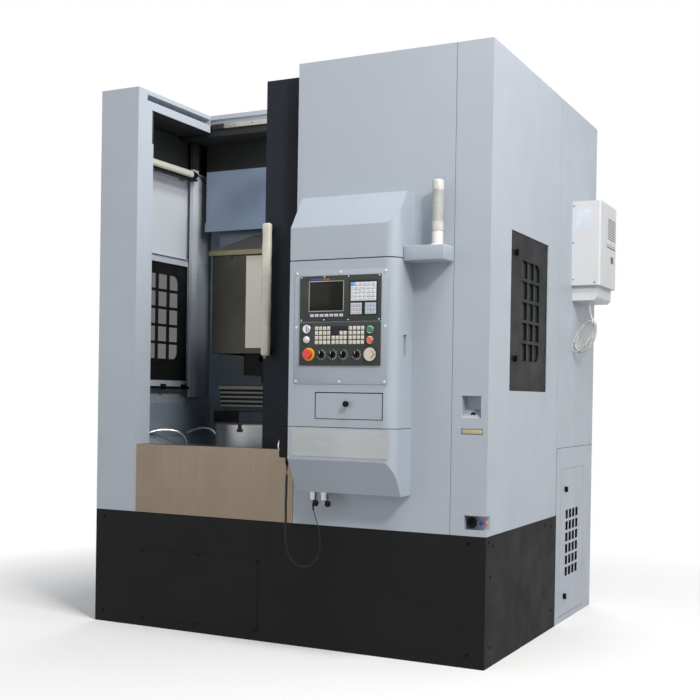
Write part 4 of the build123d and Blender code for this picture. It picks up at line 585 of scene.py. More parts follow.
BODY_PAINT = Paint("body_paint", (168, 176, 186), soil=0.05)
INNER_PAINT = Paint("inner_paint", (142, 160, 184), 0.38, 0.0002, 0.22)
BASE_PAINT = Textured("base_structure_paint", (29, 30, 30), 0.60)
DOOR_PAINT = Textured("door_structure_paint", (37, 41, 48), 0.52)
CONTROL_PAINT = Paint("control_paint", (164, 173, 183), 0.36)
COOLER_PAINT = Paint("cooler_paint", (202, 204, 206), 0.40, 0.0002, 0.05)
COVER_PAINT = Paint("head_cover_paint", (240, 233, 220), 0.45, 0.0002, 0.06)
TUB_PAINT = Paint("tub_paint", (132, 144, 156), 0.30, 0.0002, 0.40)
FRAME_BLACK = Textured("window_frame_black", (20, 21, 23), 0.44)
SILL_STEEL = Brushed("sill_stainless", (130, 118, 104), Axis.Z, 0.38)
GUARD_STEEL = Brushed("guard_stainless", (58, 57, 52), Axis.Z, 0.36)
# The way cover's steel: darkened with painted shade between the lips, and a near-white painted highlight
# along each lip.
LEAF_STEEL_AND_SHADE = Brushed("leaf_steel_and_painted_shade", (78, 75, 71), Axis.X, 0.42, 0.3)
LIP_PAINTED_HIGHLIGHT = Brushed("leaf_lip_painted_highlight", (248, 243, 236), Axis.X, 0.3, 0.1)
RAIL_STEEL = Brushed("rail_steel", (176, 174, 168), Axis.X, 0.30)
BOLT_STEEL = Brushed("bolt_steel", (196, 197, 199), Axis.X, 0.28)
GROUND_STEEL = Brushed("ground_tool_steel", (92, 92, 94), Axis.Z, 0.36)
JAW_STEEL = Brushed("jaw_steel", (120, 120, 122), Axis.X, 0.34)
SIGN_METAL = Brushed("bare_sign_metal", (168, 171, 173), Axis.X, 0.42, 0.85)
CHUCK_STEEL = Turned("chuck_turned_steel", (148, 149, 151), SPINDLE)
TURRET_STEEL = Turned("turret_turned_steel", (26, 26, 27), TURRET, 0.46)
CAST_IRON = Cast("cast_iron_paint", (58, 66, 78))
BLACK_PLASTIC = Moulded("black_plastic", (13, 13, 14), 0.42, shine=0.12)
SOFT_BLACK = Moulded("soft_black_rubber", (15, 15, 16), 0.62, shine=0.06)
CORD_JACKET = Moulded("cord_jacket", (40, 41, 43), 0.38, shine=0.2)
SLEEVE_FOAM = Moulded("handle_sleeve", (212, 209, 196), 0.5, 500.0)
UNIT_PLASTIC = Moulded("control_unit_plastic", (55, 60, 56), 0.46, shine=0.25)
UNIT_DARK = Moulded("control_unit_recess", (34, 38, 44), 0.5, shine=0.2)
SCREEN_GLASS = Moulded("screen_glass", (28, 29, 22), 0.14, 20.0, shine=0.12)
BEZEL_METAL = Brushed("bezel_metal", (150, 150, 140), Axis.X, 0.3)
RED_PLASTIC = Moulded("estop_red", (222, 44, 42), 0.25)
YELLOW_PLASTIC = Moulded("collar_yellow", (232, 178, 36), 0.35)
GREEN_PLASTIC = Moulded("start_green", (10, 128, 96), 0.25)
ORANGE_PLASTIC = Moulded("stop_orange", (240, 104, 48), 0.25)
CYAN_PLASTIC = Moulded("reset_cyan", (82, 178, 236), 0.35)
WHITE_PLASTIC = Moulded("white_plastic", (220, 220, 218), 0.4)
LAMP_MILK = Moulded("lamp_milk", (226, 224, 218), 0.22, 300.0, 0.25)
HOSE_CLEAR = Moulded("hose_clear", (226, 229, 226), 0.18, 200.0, 0.55)
PANE_PALE = Moulded("pane_smoked", (34, 36, 36), 0.12, 20.0)
# Zinc screw heads in a near-white, partly their own pale metal and partly a painted glint.
SCREW_ZINC_AND_GLINT = Moulded("screw_zinc_and_painted_glint", (226, 228, 230), 0.30)
# A dark colour for real joints and the air socket, and for painted shade in the slots' reveals and the
# drawer's gap.
DARK_SEAM_AND_SHADE = Moulded("dark_seam_and_shade", (20, 21, 23), 0.7, shine=0.1)
FOLD_LINE = Moulded("fold_line", (146, 153, 162), 0.6)
LABEL_PALE = Moulded("label_pale_film", (205, 213, 222), 0.35)
LENS_GREY = Moulded("lamp_lens_grey", (198, 202, 198), 0.20, 300.0, 0.25)
PANE_GREY = Moulded("pane_grey", (58, 63, 63), 0.08, 20.0)
LIGHT_TUBE = Brushed("light_tube_reflector", (222, 218, 204), Axis.Y, 0.34, 0.25)
RUST_TAN = Moulded("slot_foam_tan", (184, 168, 136), 0.7, 600.0)
INK_WHITE = Moulded("scale_print", (214, 216, 214), 0.6)
DIAL_METAL = Brushed("dial_metal", (178, 171, 160), Axis.Z, 0.30)

COVER_TOP = 1.310
LEAF_STEP = 0.027
# Each leaf wears the lips' painted highlight in a narrow band, and the shaded steel everywhere else.
LEAVES = {
    f"way_cover_{number}": Zoned(
        f"way_cover_lip_highlight_{number}", outer=LEAF_STEEL_AND_SHADE, inner=LIP_PAINTED_HIGHLIGHT,
        low=(None, None, COVER_TOP - LEAF_STEP * (number + 1) + 0.001),
        high=(None, None, COVER_TOP - LEAF_STEP * (number + 1) + 0.012))
    for number in range(1, 5)
}
SADDLE_PAINT = Paint("saddle_paint", (128, 138, 150), 0.4, 0.0002, 0.2)
# The saddle's lowest strip wears the lips' painted highlight.
SADDLE_FINISH = Zoned("saddle_finish", outer=SADDLE_PAINT, inner=LIP_PAINTED_HIGHLIGHT,
                      low=(None, None, 1.20), high=(None, None, 1.3043))
# The rubber wiper is a part of the tub's node.
WIPER_FINISH = Zoned("tub_finish", outer=TUB_PAINT, inner=SOFT_BLACK,
                     low=(-1.0, -0.034, 1.074), high=(-0.80, -0.015, 1.15))
# The window doors' and the sliding door's panes are parts of their doors' nodes.
LEFT_WINDOW_FINISH = Zoned("left_window_finish", outer=FRAME_BLACK, inner=PANE_PALE,
                           low=(-1.1181, None, None), inner_alpha=0.62)
RIGHT_WINDOW_FINISH = Zoned("right_window_finish", outer=FRAME_BLACK, inner=PANE_GREY,
                            high=(1.1181, None, None))
DOOR_FINISH = Zoned("door_finish", outer=DOOR_PAINT, inner=PANE_GREY,
                    low=(0.0751, None, 1.3501), high=(0.5149, None, 2.2499))
# Painted shade for the places under the roof; the lintel carries the door's rail, and wears the painted
# shade under the roof.
SHADED_PAINT = Paint("upper_wall_painted_shade", (24, 26, 26), 0.6, 0.0002, 0.25)
LINTEL_SHADE = Zoned("lintel_shade", outer=BODY_PAINT, inner=SHADED_PAINT,
                     low=(None, -0.2565, None), high=(1.2, None, 2.8485))
LINTEL_FINISH = Zoned("lintel_finish", outer=LINTEL_SHADE, inner=RAIL_STEEL,
                      low=(-0.79, -0.256, 2.8195), high=(1.2, -0.2401, 2.8485))
# The guard is stainless, with painted light on its roof and a cream cover plate.
ROOF_PAINTED_LIGHT = Brushed("guard_roof_painted_light", (118, 111, 92), Axis.X, 0.45)
PLAIN_GUARD = Zoned("guard_and_roof", outer=GUARD_STEEL, inner=ROOF_PAINTED_LIGHT, low=(None, None, 2.0301))
GUARD_FINISH = Zoned("guard_finish", outer=PLAIN_GUARD, inner=COVER_PAINT,
                     low=(-0.459, -0.504, 1.509), high=(-0.084, -0.5002, 2.023))
# The left side's inner skin: a black ledge round the window, painted light over it, painted shade on top.
LIT_PAINT = Paint("lit_wall_paint", (184, 189, 196), soil=0.05)
LEDGE_FINISH = Zoned("left_ledge_finish", outer=BODY_PAINT, inner=FRAME_BLACK,
                     low=(-1.1135, -0.7115, 1.330), high=(-1.1110, -0.1085, 2.0675))
LEFT_SKIN_FINISH = Zoned("left_skin_finish", outer=LEDGE_FINISH, inner=LIT_PAINT,
                         low=(-1.1340, -0.90, 2.07), high=(-1.1145, 0.10, 2.62))
LEFT_SIDE_FINISH = Zoned("left_side_finish", outer=LEFT_SKIN_FINISH, inner=SHADED_PAINT,
                         low=(-1.1340, -0.90, 2.62), high=(-1.05, 0.10, 2.895))
# The pillar's inner faces at the top wear painted shade.
PILLAR_FINISH = Zoned("pillar_finish", outer=BODY_PAINT, inner=SHADED_PAINT,
                      low=(-1.1340, -0.915, 2.62), high=(-0.8865, None, 2.815))
# The cabin's walls: painted light on the left one, painted shade at the top of them all.
LEFT_WALL_FINISH = Zoned("left_wall_finish", outer=INNER_PAINT, inner=LIT_PAINT,
                         high=(-1.06, -0.045, 2.62))
SHELF_FINISH = Zoned("cabin_finish", outer=LEFT_WALL_FINISH, inner=SHADED_PAINT,
                     low=(None, None, 2.62), high=(None, None, 3.0))
# Painted shade on the slots' reveals in the lower cabinet door, and the drive plate in the electric cabinet.
LOUVRE_REVEAL_SHADE = Zoned("louvre_reveal_shade", outer=BODY_PAINT, inner=DARK_SEAM_AND_SHADE,
                      low=(1.1322, 0.37, 0.245), high=(1.1347, 0.65, 0.645))
DRIVE_GREY = Paint("drive_grey", (96, 100, 104))
CABINET_FINISH = Zoned("cabinet_finish", outer=BODY_PAINT, inner=DRIVE_GREY,
                       low=(0.55, 0.18, 1.0), high=(1.10, 0.43, 2.87))

NODE_FINISH: dict[str, Finish] = {
    "bed_casting": CAST_IRON, "base_skirt": BASE_PAINT, "left_pillar": PILLAR_FINISH,
    "rear_lintel": LINTEL_FINISH, "cabin_walls": SHELF_FINISH, "left_side_panel": LEFT_SIDE_FINISH,
    "right_side_panel": BODY_PAINT, "splash_sill": SILL_STEEL, "main_front_panel": BODY_PAINT,
    "roof_and_rear_panels": BODY_PAINT, "cabin_tub": WIPER_FINISH, "electric_cabinet": CABINET_FINISH,
    "electric_cabinet_door": BODY_PAINT, "hydraulic_unit": Paint("tank_grey", (120, 124, 130)),
    "cooling_unit": COOLER_PAINT, "signal_lamp": CONTROL_PAINT, "control_support": CONTROL_PAINT,
    "pendant_body": BLACK_PLASTIC, "pendant_wheel": BLACK_PLASTIC, "work_lamp": BLACK_PLASTIC,
    "column": CAST_IRON, "z_saddle": SADDLE_FINISH, "tool_head": GROUND_STEEL,
    "head_guard": GUARD_FINISH, "turret_disc": TURRET_STEEL, "chuck_body": CHUCK_STEEL,
    "jaw_1": JAW_STEEL, "jaw_2": JAW_STEEL, "jaw_3": JAW_STEEL, "spindle_motor": GROUND_STEEL,
    "motor_pulley": JAW_STEEL, "drive_belt": SOFT_BLACK, "sliding_door": DOOR_FINISH,
    "right_window_door": RIGHT_WINDOW_FINISH, "left_window_door": LEFT_WINDOW_FINISH,
    "window_latch_lower": BLACK_PLASTIC, "window_latch_upper": BLACK_PLASTIC,
    "lower_cabinet_door": LOUVRE_REVEAL_SHADE, "cabinet_latch_lower": BLACK_PLASTIC,
    "cabinet_latch_upper": BLACK_PLASTIC, "control_box": CONTROL_PAINT, "control_drawer": CONTROL_PAINT,
    "key_switch": BOLT_STEEL, "selector_1": BLACK_PLASTIC, "selector_2": BLACK_PLASTIC,
    "selector_3": BLACK_PLASTIC, "selector_4": BLACK_PLASTIC, "override_dial": DIAL_METAL,
    "estop_button": RED_PLASTIC, "start_button": GREEN_PLASTIC, "stop_button": ORANGE_PLASTIC,
    **LEAVES,
}


class Bench:
    """The modelling bench: makes pieces with mesh operators and readies them for the machine."""

    @staticmethod
    def clear() -> None:
        """Leave edit mode and deselect everything."""
        if bpy.context.object is not None and bpy.context.object.mode != "OBJECT":
            bpy.ops.object.mode_set(mode="OBJECT")
        bpy.ops.object.select_all(action="DESELECT")

    @staticmethod
    def take(piece: bpy.types.Object) -> None:
        """Select one piece alone and make it the active one.

        Args:
            piece: the piece.
        """
        Bench.clear()
        piece.select_set(True)
        bpy.context.view_layer.objects.active = piece

    @staticmethod
    def block(name: str, low: Point, high: Point, edge: float = 0.001, steps: int = 2) -> bpy.types.Object:
        """Make a block between two corners with its edges rounded.

        Args:
            name: the piece's name.
            low: the lowest corner, in metres.
            high: the highest corner, in metres.
            edge: the width of the rounded edges.
            steps: the segments of each rounded edge.

        Returns:
            The new object, with its place in its mesh.
        """
        Bench.clear()
        middle = [(start + end) / 2 for start, end in zip(low, high)]
        size = [end - start for start, end in zip(low, high)]
        bpy.ops.mesh.primitive_cube_add(size=1.0, location=middle)
        piece = bpy.context.object
        piece.name = name
        piece.scale = size
        bpy.ops.object.transform_apply(location=True, rotation=True, scale=True)
        if edge > 0:
            bpy.ops.object.mode_set(mode="EDIT")
            bpy.ops.mesh.select_all(action="SELECT")
            bpy.ops.mesh.bevel(offset=min(edge, min(size) * 0.45), segments=steps, affect="EDGES")
            bpy.ops.object.mode_set(mode="OBJECT")
        return piece

    @staticmethod
    def turned(name: str, centre: Point, axis: Axis, stations: Sequence[tuple[float, float]],
               sides: int = 40) -> bpy.types.Object:
        """Make a turned piece by extruding and resizing a disc along an axis.

        Args:
            name: the piece's name.
            centre: the point that the stations are counted from.
            axis: the row axis that it is turned about.
            stations: distance along the axis and radius, one pair for each step.
            sides: the sides of its circle.

        Returns:
            The new object, with its place in its mesh.
        """
        Bench.clear()
        start, radius = stations[0]
        bpy.ops.mesh.primitive_circle_add(vertices=sides, radius=radius, fill_type="NGON",
                                          location=(0, 0, 0))
        piece = bpy.context.object
        piece.name = name
        bpy.ops.object.mode_set(mode="EDIT")
        bpy.ops.mesh.select_all(action="SELECT")
        bpy.ops.transform.translate(value=(0, 0, start))
        for place, size in stations[1:]:
            bpy.ops.mesh.extrude_region_move(TRANSFORM_OT_translate={"value": (0, 0, place - start)})
            ratio = size / radius
            bpy.ops.transform.resize(value=(ratio, ratio, 1.0), center_override=(0, 0, place))
            start, radius = place, size
        bpy.ops.mesh.select_all(action="SELECT")
        bpy.ops.mesh.normals_make_consistent(inside=False)
        bpy.ops.object.mode_set(mode="OBJECT")
        turn = {Axis.X: Matrix.Rotation(math.pi / 2, 4, "Y"), Axis.Y: Matrix.Rotation(-math.pi / 2, 4, "X"),
                Axis.Z: Matrix.Identity(4)}[axis]
        piece.data.transform(Matrix.Translation(centre) @ turn)
        return piece

    @staticmethod
    def row(piece: bpy.types.Object, count: int, step: Point) -> bpy.types.Object:
        """Repeat a piece in a row with an applied array.

        Args:
            piece: the piece to repeat.
            count: how many there are in all.
            step: the offset from one to the next.

        Returns:
            The same object, now the whole row.
        """
        Bench.take(piece)
        array = piece.modifiers.new("row", "ARRAY")
        array.count = count
        array.use_relative_offset = False
        array.use_constant_offset = True
        array.constant_offset_displace = step
        bpy.ops.object.modifier_apply(modifier=array.name)
        return piece

    @staticmethod
    def copy(piece: bpy.types.Object, name: str, offset: Point) -> bpy.types.Object:
        """Copy a piece with a mesh of its own and move the mesh.

        Args:
            piece: the piece to copy.
            name: the copy's name.
            offset: how far the copy's mesh is moved.

        Returns:
            The copy.
        """
        twin = piece.copy()
        twin.data = piece.data.copy()
        twin.name = name
        twin.data.transform(Matrix.Translation(offset))
        bpy.context.scene.collection.objects.link(twin)
        return twin

    @staticmethod
    def join(name: str, pieces: Iterable[bpy.types.Object]) -> bpy.types.Object:
        """Join pieces into one object.

        Args:
            name: the joined piece's name.
            pieces: the pieces to join.

        Returns:
            The first piece, which now holds them all.
        """
        Bench.clear()
        group = list(pieces)
        for piece in group:
            piece.select_set(True)
        bpy.context.view_layer.objects.active = group[0]
        if len(group) > 1:
            bpy.ops.object.join()
        group[0].name = name
        return group[0]

    @staticmethod
    def cluster(name: str, spots: Sequence[Point], axis: Axis, stations: Sequence[tuple[float, float]],
                sides: int) -> bpy.types.Object:
        """Turn one small piece, copy it to every spot and join the copies.

        Args:
            name: the piece's name.
            spots: the point that each copy's stations are counted from.
            axis: the row axis that it is turned about.
            stations: distance along the axis and radius, one pair for each step.
            sides: the sides of its circle.

        Returns:
            The new object, with all the copies in it.
        """
        first = Bench.turned(name, spots[0], axis, stations, sides)
        start = Vector(spots[0])
        copies = [Bench.copy(first, name, Vector(spot) - start) for spot in spots[1:]]
        return Bench.join(name, [first, *copies])

    @staticmethod
    def surround(name: str, low: Point, high: Point, width: float,
                 edge: float = 0.0) -> list[bpy.types.Object]:
        """Make the four bars round an upright opening that faces the front.

        Args:
            name: the bars' name.
            low: the opening's lowest corner, at the bars' front.
            high: its highest corner, at the bars' back.
            width: the bars' width.
            edge: the width of their rounded edges.

        Returns:
            The four bars: lower, upper, left and right.
        """
        x0, front, z0 = low
        x1, back, z1 = high
        spans = ((x0 - width, x1 + width, z0 - width, z0), (x0 - width, x1 + width, z1, z1 + width),
                 (x0 - width, x0, z0, z1), (x1, x1 + width, z0, z1))
        return [Bench.block(name, (left, front, foot), (right, back, head), edge)
                for left, right, foot, head in spans]

    @staticmethod
    def curve(name: str, points: Sequence[Point], radius: float) -> bpy.types.Object:
        """Make a smooth round curve with the points as a NURBS spline's control points.

        Args:
            name: the piece's name.
            points: the control points, in metres.
            radius: the curve's thickness.

        Returns:
            The curve object.
        """
        data = bpy.data.curves.new(name, "CURVE")
        data.dimensions = "3D"
        spline = data.splines.new("NURBS")
        spline.points.add(len(points) - 1)
        for target, point in zip(spline.points, points):
            target.co = (*point, 1.0)
        spline.order_u = 3
        spline.use_endpoint_u = True
        data.resolution_u = CURVE_STEPS
        data.bevel_depth = radius
        data.bevel_resolution = 3
        data.use_fill_caps = radius > 0
        piece = bpy.data.objects.new(name, data)
        bpy.context.scene.collection.objects.link(piece)
        return piece

    @staticmethod
    def pipe(name: str, points: Sequence[Point], radius: float) -> bpy.types.Object:
        """Make a stiff pipe: a curve that is turned into a mesh.

        Args:
            name: the piece's name.
            points: the control points, in metres.
            radius: the pipe's radius.

        Returns:
            The pipe's mesh object.
        """
        Bench.take(Bench.curve(name, points, radius))
        bpy.ops.object.convert(target="MESH")
        return bpy.context.object

    @staticmethod
    def trace(points: Sequence[Point], resolution: int) -> list[Vector]:
        """Read the smooth line that a curve takes along its control points.

        Args:
            points: the control points, in metres.
            resolution: the steps from one control point to the next.

        Returns:
            The line's points in order.
        """
        guide = Bench.curve("guide", points, 0.0)
        guide.data.resolution_u = resolution
        mesh = bpy.data.meshes.new_from_object(guide)
        line = [vertex.co.copy() for vertex in mesh.vertices]
        data = guide.data
        bpy.data.meshes.remove(mesh)
        bpy.data.objects.remove(guide)
        bpy.data.curves.remove(data)
        return line

    @staticmethod
    def fit(piece: bpy.types.Object, finish: Finish, body: Body, *nodes: str, slot: str | None = None,
            angle: float = 35.0) -> bpy.types.Object:
        """Give a piece its finish and its body, and say which nodes it stands for.

        Args:
            piece: the finished piece.
            finish: its surface.
            body: the body that it rides on.
            nodes: the nodes that it replaces.
            slot: the record's material slot, where it has one; not used.
            angle: the angle over which its edges stay sharp, in degrees.

        Returns:
            The same object.
        """
        piece.data.materials.clear()
        piece.data.materials.append(finish.material())
        if piece.type == "MESH":
            Bench.take(piece)
            bpy.ops.object.shade_smooth_by_angle(angle=math.radians(angle))
        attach(piece, body.value)
        if nodes:
            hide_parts(*nodes)
        log.info("%s rides on %s", piece.name, body.value)
        return piece


@dataclass
class Camera:
    """The camera that the portrait was taken with."""

    place: Point = (2.8452768, -5.6127426, 1.2456491)
    yaw: float = 0.4532036
    pitch: float = -0.0077297
    roll: float = 0.0157769
    focal: float = 1084.1938
    centre: tuple[float, float] = (375.747, 405.854)
    frame: float = 700.0

    def build(self) -> None:
        """Add the camera and make it the scene's own."""
        forward = Vector((-math.sin(self.yaw) * math.cos(self.pitch),
                          math.cos(self.yaw) * math.cos(self.pitch), math.sin(self.pitch)))
        right = Vector((math.cos(self.yaw), math.sin(self.yaw), 0.0))
        up = right.cross(forward)
        side = right * math.cos(self.roll) + up * math.sin(self.roll)
        top = up * math.cos(self.roll) - right * math.sin(self.roll)
        matrix = Matrix((side, top, -forward)).transposed().to_4x4()
        matrix.translation = Vector(self.place)
        data = bpy.data.cameras.new("portrait")
        data.sensor_width = 36.0
        data.lens = self.focal / self.frame * data.sensor_width
        data.shift_x = -(self.centre[0] - self.frame / 2) / self.frame
        data.shift_y = (self.centre[1] - self.frame / 2) / self.frame
        data.clip_end = 60.0
        camera = bpy.data.objects.new("portrait", data)
        camera.matrix_world = matrix
        bpy.context.scene.collection.objects.link(camera)
        bpy.context.scene.camera = camera
        log.info("camera placed")


@dataclass
class Studio:
    """The pale floor, the white background and the soft lamps."""

    world_strength: float = 0.36
    floor_size: float = 60.0

    def build(self) -> None:
        """Add the floor, the world and the lamps."""
        scene = bpy.context.scene
        scene.view_settings.view_transform = "Standard"
        Bench.clear()
        bpy.ops.mesh.primitive_plane_add(size=self.floor_size, location=(0, 0, 0))
        floor = bpy.context.object
        floor.name = "studio_floor"
        floor.data.materials.append(self.floor_material())
        self.world()
        self.lamp("right_key", (4.9, -4.3, 5.6), (0.0, -0.4, 1.5), 1.0, 298.0, (1.0, 0.955, 0.91))
        self.lamp("right_fill", (6.5, -1.5, 4.0), (1.1, 0.0, 1.8), 3.0, 56.0, (1.0, 0.97, 0.94))
        self.lamp("ceiling", (2.6, -2.0, 6.5), (-0.6, -0.5, 1.8), 1.4, 190.0)
        self.lamp("front_fill", (-3.4, -5.6, 2.6), (-0.2, -0.8, 1.6), 3.4, 41.0)
        self.lamp("cabin_light", (0.15, -0.62, 2.52), (-1.1, -0.25, 2.1), 0.3, 5.0)
        self.lamp("rear_fill", (-2.0, 6.2, 4.0), (0.0, 0.8, 1.5), 4.0, 150.0)

    @staticmethod
    def floor_material() -> bpy.types.Material:
        """Give the floor: white to the camera, and a plain pale surface to the light.

        Returns:
            The floor's material.
        """
        graph = Graph("floor_pale")
        tree = graph.tree
        graph.shader.inputs["Roughness"].default_value = 0.9
        x, y, _ = graph.parts(graph.place())
        square = graph.sum("ADD", graph.sum("MULTIPLY", x, x), graph.sum("MULTIPLY", y, y))
        fade = graph.spread(graph.sum("SQRT", square), 0.0, 1.0, 1.7, 3.4)
        rays = tree.nodes.new("ShaderNodeLightPath")
        seen = graph.sum("MAXIMUM", rays.outputs["Is Camera Ray"], rays.outputs["Is Glossy Ray"])
        seen = graph.sum("MAXIMUM", seen, rays.outputs["Is Transmission Ray"])
        fade = graph.sum("MULTIPLY", fade, seen)
        to_light, to_camera = (0.5, 0.5, 0.5, 1), (0.86, 0.86, 0.86, 1)
        graph.feed(graph.shader.inputs["Base Color"], graph.mix(seen, to_light, to_camera))
        glow = tree.nodes.new("ShaderNodeEmission")
        glow.inputs[0].default_value = (1, 1, 1, 1)
        blend = tree.nodes.new("ShaderNodeMixShader")
        graph.feed(blend.inputs[0], fade)
        graph.feed(blend.inputs[1], graph.shader.outputs[0])
        graph.feed(blend.inputs[2], glow.outputs[0])
        graph.feed(tree.nodes["Material Output"].inputs["Surface"], blend.outputs[0])
        return graph.material

    def world(self) -> None:
        """Light the scene evenly, and show white behind it."""
        world = bpy.data.worlds.new("studio")
        bpy.context.scene.world = world
        world.use_nodes = True
        tree = world.node_tree
        ground = tree.nodes["Background"]
        ground.inputs[0].default_value = (0.93, 0.96, 1.0, 1)
        ground.inputs[1].default_value = self.world_strength
        white = tree.nodes.new("ShaderNodeBackground")
        white.inputs[0].default_value = (1, 1, 1, 1)
        white.inputs[1].default_value = 1.0
        rays = tree.nodes.new("ShaderNodeLightPath")
        blend = tree.nodes.new("ShaderNodeMixShader")
        seen = rays.outputs["Is Camera Ray"]
        for name in ("Is Glossy Ray", "Is Transmission Ray"):
            either = tree.nodes.new("ShaderNodeMath")
            either.operation = "MAXIMUM"
            tree.links.new(seen, either.inputs[0])
            tree.links.new(rays.outputs[name], either.inputs[1])
            seen = either.outputs[0]
        tree.links.new(seen, blend.inputs[0])
        tree.links.new(ground.outputs[0], blend.inputs[1])
        tree.links.new(white.outputs[0], blend.inputs[2])
        tree.links.new(blend.outputs[0], tree.nodes["World Output"].inputs[0])

    @staticmethod
    def lamp(name: str, place: Point, target: Point, size: float, power: float,
             colour: Point = (1, 1, 1)) -> None:
        """Add a soft square lamp that looks at a point.

        Args:
            name: the lamp's name.
            place: where it hangs.
            target: the point that it looks at.
            size: its side, in metres.
            power: its power, in watts.
            colour: its tint.
        """
        data = bpy.data.lights.new(name, "AREA")
        data.color = colour
        data.size = size
        data.energy = power
        lamp = bpy.data.objects.new(name, data)
        lamp.location = place
        lamp.rotation_euler = (Vector(target) - Vector(place)).to_track_quat("-Z", "Y").to_euler()
        bpy.context.scene.collection.objects.link(lamp)


@dataclass
class PendantCord:
    """The pendant's lead: a smooth end, a curly length hanging in a loop, and a smooth end."""

    route: tuple[Point, ...] = (
        (0.156, -1.065, 0.918), (0.156, -1.065, 0.884), (0.151, -1.061, 0.830), (0.150, -1.058, 0.775),
        (0.146, -1.056, 0.718), (0.147, -1.053, 0.660), (0.143, -1.051, 0.602), (0.144, -1.049, 0.548),
        (0.150, -1.047, 0.498), (0.167, -1.044, 0.455), (0.202, -1.039, 0.423), (0.246, -1.032, 0.414),
        (0.287, -1.024, 0.434), (0.312, -1.016, 0.476), (0.318, -1.009, 0.528), (0.310, -1.004, 0.584),
        (0.290, -1.001, 0.640), (0.268, -1.000, 0.692), (0.268, -1.000, 0.725),
    )
    wire: float = 0.0019
    curl: float = 0.0049
    pitch: float = 0.0046
    smooth_start: float = 0.055
    smooth_end: float = 0.255
    points_per_turn: int = 12

    def helix(self) -> list[Point]:
        """Wind the curly length round the route's line, and leave its two ends smooth.

        Returns:
            The control points of the lead's one spline.
        """
        line = Bench.trace(self.route, 24)
        reach = [0.0]
        for before, here in zip(line, line[1:]):
            reach.append(reach[-1] + (here - before).length)
        total = reach[-1]
        curled = total - self.smooth_start - self.smooth_end
        turns = round(curled / self.pitch)
        steps = turns * self.points_per_turn

        def at(distance: float) -> tuple[Vector, Vector]:
            """Give the point and the direction at a distance along the line.

            Args:
                distance: how far along the line, in metres.

            Returns:
                The point and the direction there.
            """
            index = 1
            while index < len(reach) - 1 and reach[index] < distance:
                index += 1
            before, here = line[index - 1], line[index]
            part = (distance - reach[index - 1]) / max(1e-9, reach[index] - reach[index - 1])
            return before.lerp(here, part), (here - before).normalized()

        first_steps, last_steps, blend_steps = 4, 8, 8
        points: list[Point] = [tuple(at(self.smooth_start * part / first_steps)[0])
                               for part in range(first_steps)]
        side = Vector((1, 0, 0))
        for step in range(steps + 1):
            place, direction = at(self.smooth_start + curled * step / steps)
            side = (side - direction * side.dot(direction)).normalized()
            other = direction.cross(side)
            angle = 2 * math.pi * step / self.points_per_turn
            grow = min(1.0, step / blend_steps, (steps - step) / blend_steps)
            offset = (side * math.cos(angle) + other * math.sin(angle)) * self.curl * grow
            points.append(tuple(place + offset))
        start = self.smooth_start + curled
        for part in range(1, last_steps + 1):
            points.append(tuple(at(start + self.smooth_end * part / last_steps)[0]))
        return points

    def build(self) -> None:
        """Make the lead and its two strain reliefs."""
        points = self.helix()
        lead = Bench.curve("pendant_lead", points, self.wire)
        lead.data.resolution_u = 2
        lead.data.bevel_resolution = 2
        Bench.fit(lead, CORD_JACKET, Body.MACHINE, "pendant_cord", slot="cord_grey")
        for number, point in enumerate((points[0], points[-1])):
            relief = Bench.turned(f"lead_relief_{number + 1}", point, Axis.Z,
                                  [(0.0, 0.0052), (-0.004, 0.0056), (-0.022, 0.0030), (-0.034, 0.0026)], 20)
            Bench.fit(relief, SOFT_BLACK, Body.MACHINE)


@dataclass
class DrainHose:
    """The clear drain hose: a straight drop, and loose loops that are tied at one side and fan out."""

    exit: Point = (1.228, 0.470, 1.794)
    tie: Point = (1.250, 0.470, 1.702)
    tilt: float = 65.0
    half_length: float = 0.098
    half_width: float = 0.038
    turns: int = 5
    radius: float = 0.0046
    fan: tuple[float, float] = (0.024, 0.020)
    points_per_turn: int = 14

    def points(self) -> list[Point]:
        """Lay the drop and the loops as one route.

        Returns:
            The route's points, from the cooling unit's spigot to the open end.
        """
        x, y, z = self.exit
        route: list[Point] = [(x, y, z), (x + 0.001, y, z - 0.026), (x + 0.006, y, z - 0.054)]
        tilt = math.radians(self.tilt)
        along = Vector((math.cos(tilt), 0.0, math.sin(tilt)))
        across = Vector((-math.sin(tilt), 0.0, math.cos(tilt)))
        steps = self.turns * self.points_per_turn - 3
        for step in range(steps + 1):
            turn = step / self.points_per_turn
            angle = 2 * math.pi * turn
            share = turn / self.turns - 0.5
            away = (1 - math.cos(angle)) / 2
            length = self.half_length * (1.0 + 0.05 * math.sin(2.6 * turn + 0.4))
            width = self.half_width * (1.0 + 0.10 * math.sin(1.9 * turn))
            spot = (Vector(self.tie) + along * (length * (math.cos(angle) - 1))
                    - across * (width * math.sin(angle)) - across * (self.fan[0] * 2 * share * away)
                    + Vector((0.0, self.fan[1] * 2 * share * away + 0.008 * share, 0.0)))
            route.append((spot.x, spot.y, spot.z))
        return route

    def build(self) -> None:
        """Make the hose and its tie."""
        route = self.points()
        hose = Bench.curve("drain_hose_tube", route, self.radius)
        Bench.fit(hose, HOSE_CLEAR, Body.MACHINE, "drain_hose", "drain_hose_coil", slot="clear_hose")
        spots = Bench.trace(route, CURVE_STEPS)
        tie = Bench.turned("hose_tie", (self.tie[0] - 0.002, self.tie[1], self.tie[2] - 0.006), Axis.X,
                           [(-0.003, 0.0150), (-0.003, 0.0165), (0.003, 0.0165), (0.003, 0.0150)], 24)
        Bench.fit(tie, WHITE_PLASTIC, Body.MACHINE)


class SheetMetal:
    """Gives every carried-over node its finish."""

    @staticmethod
    def build(frame: dict) -> None:
        """Dress the nodes.
        """
        for name, finish in NODE_FINISH.items():
            node = frame["nodes"][name]
            material = finish.material()
            for slot in node.material_slots:
                slot.material = material
            log.info("%s wears %s", name, finish.name)


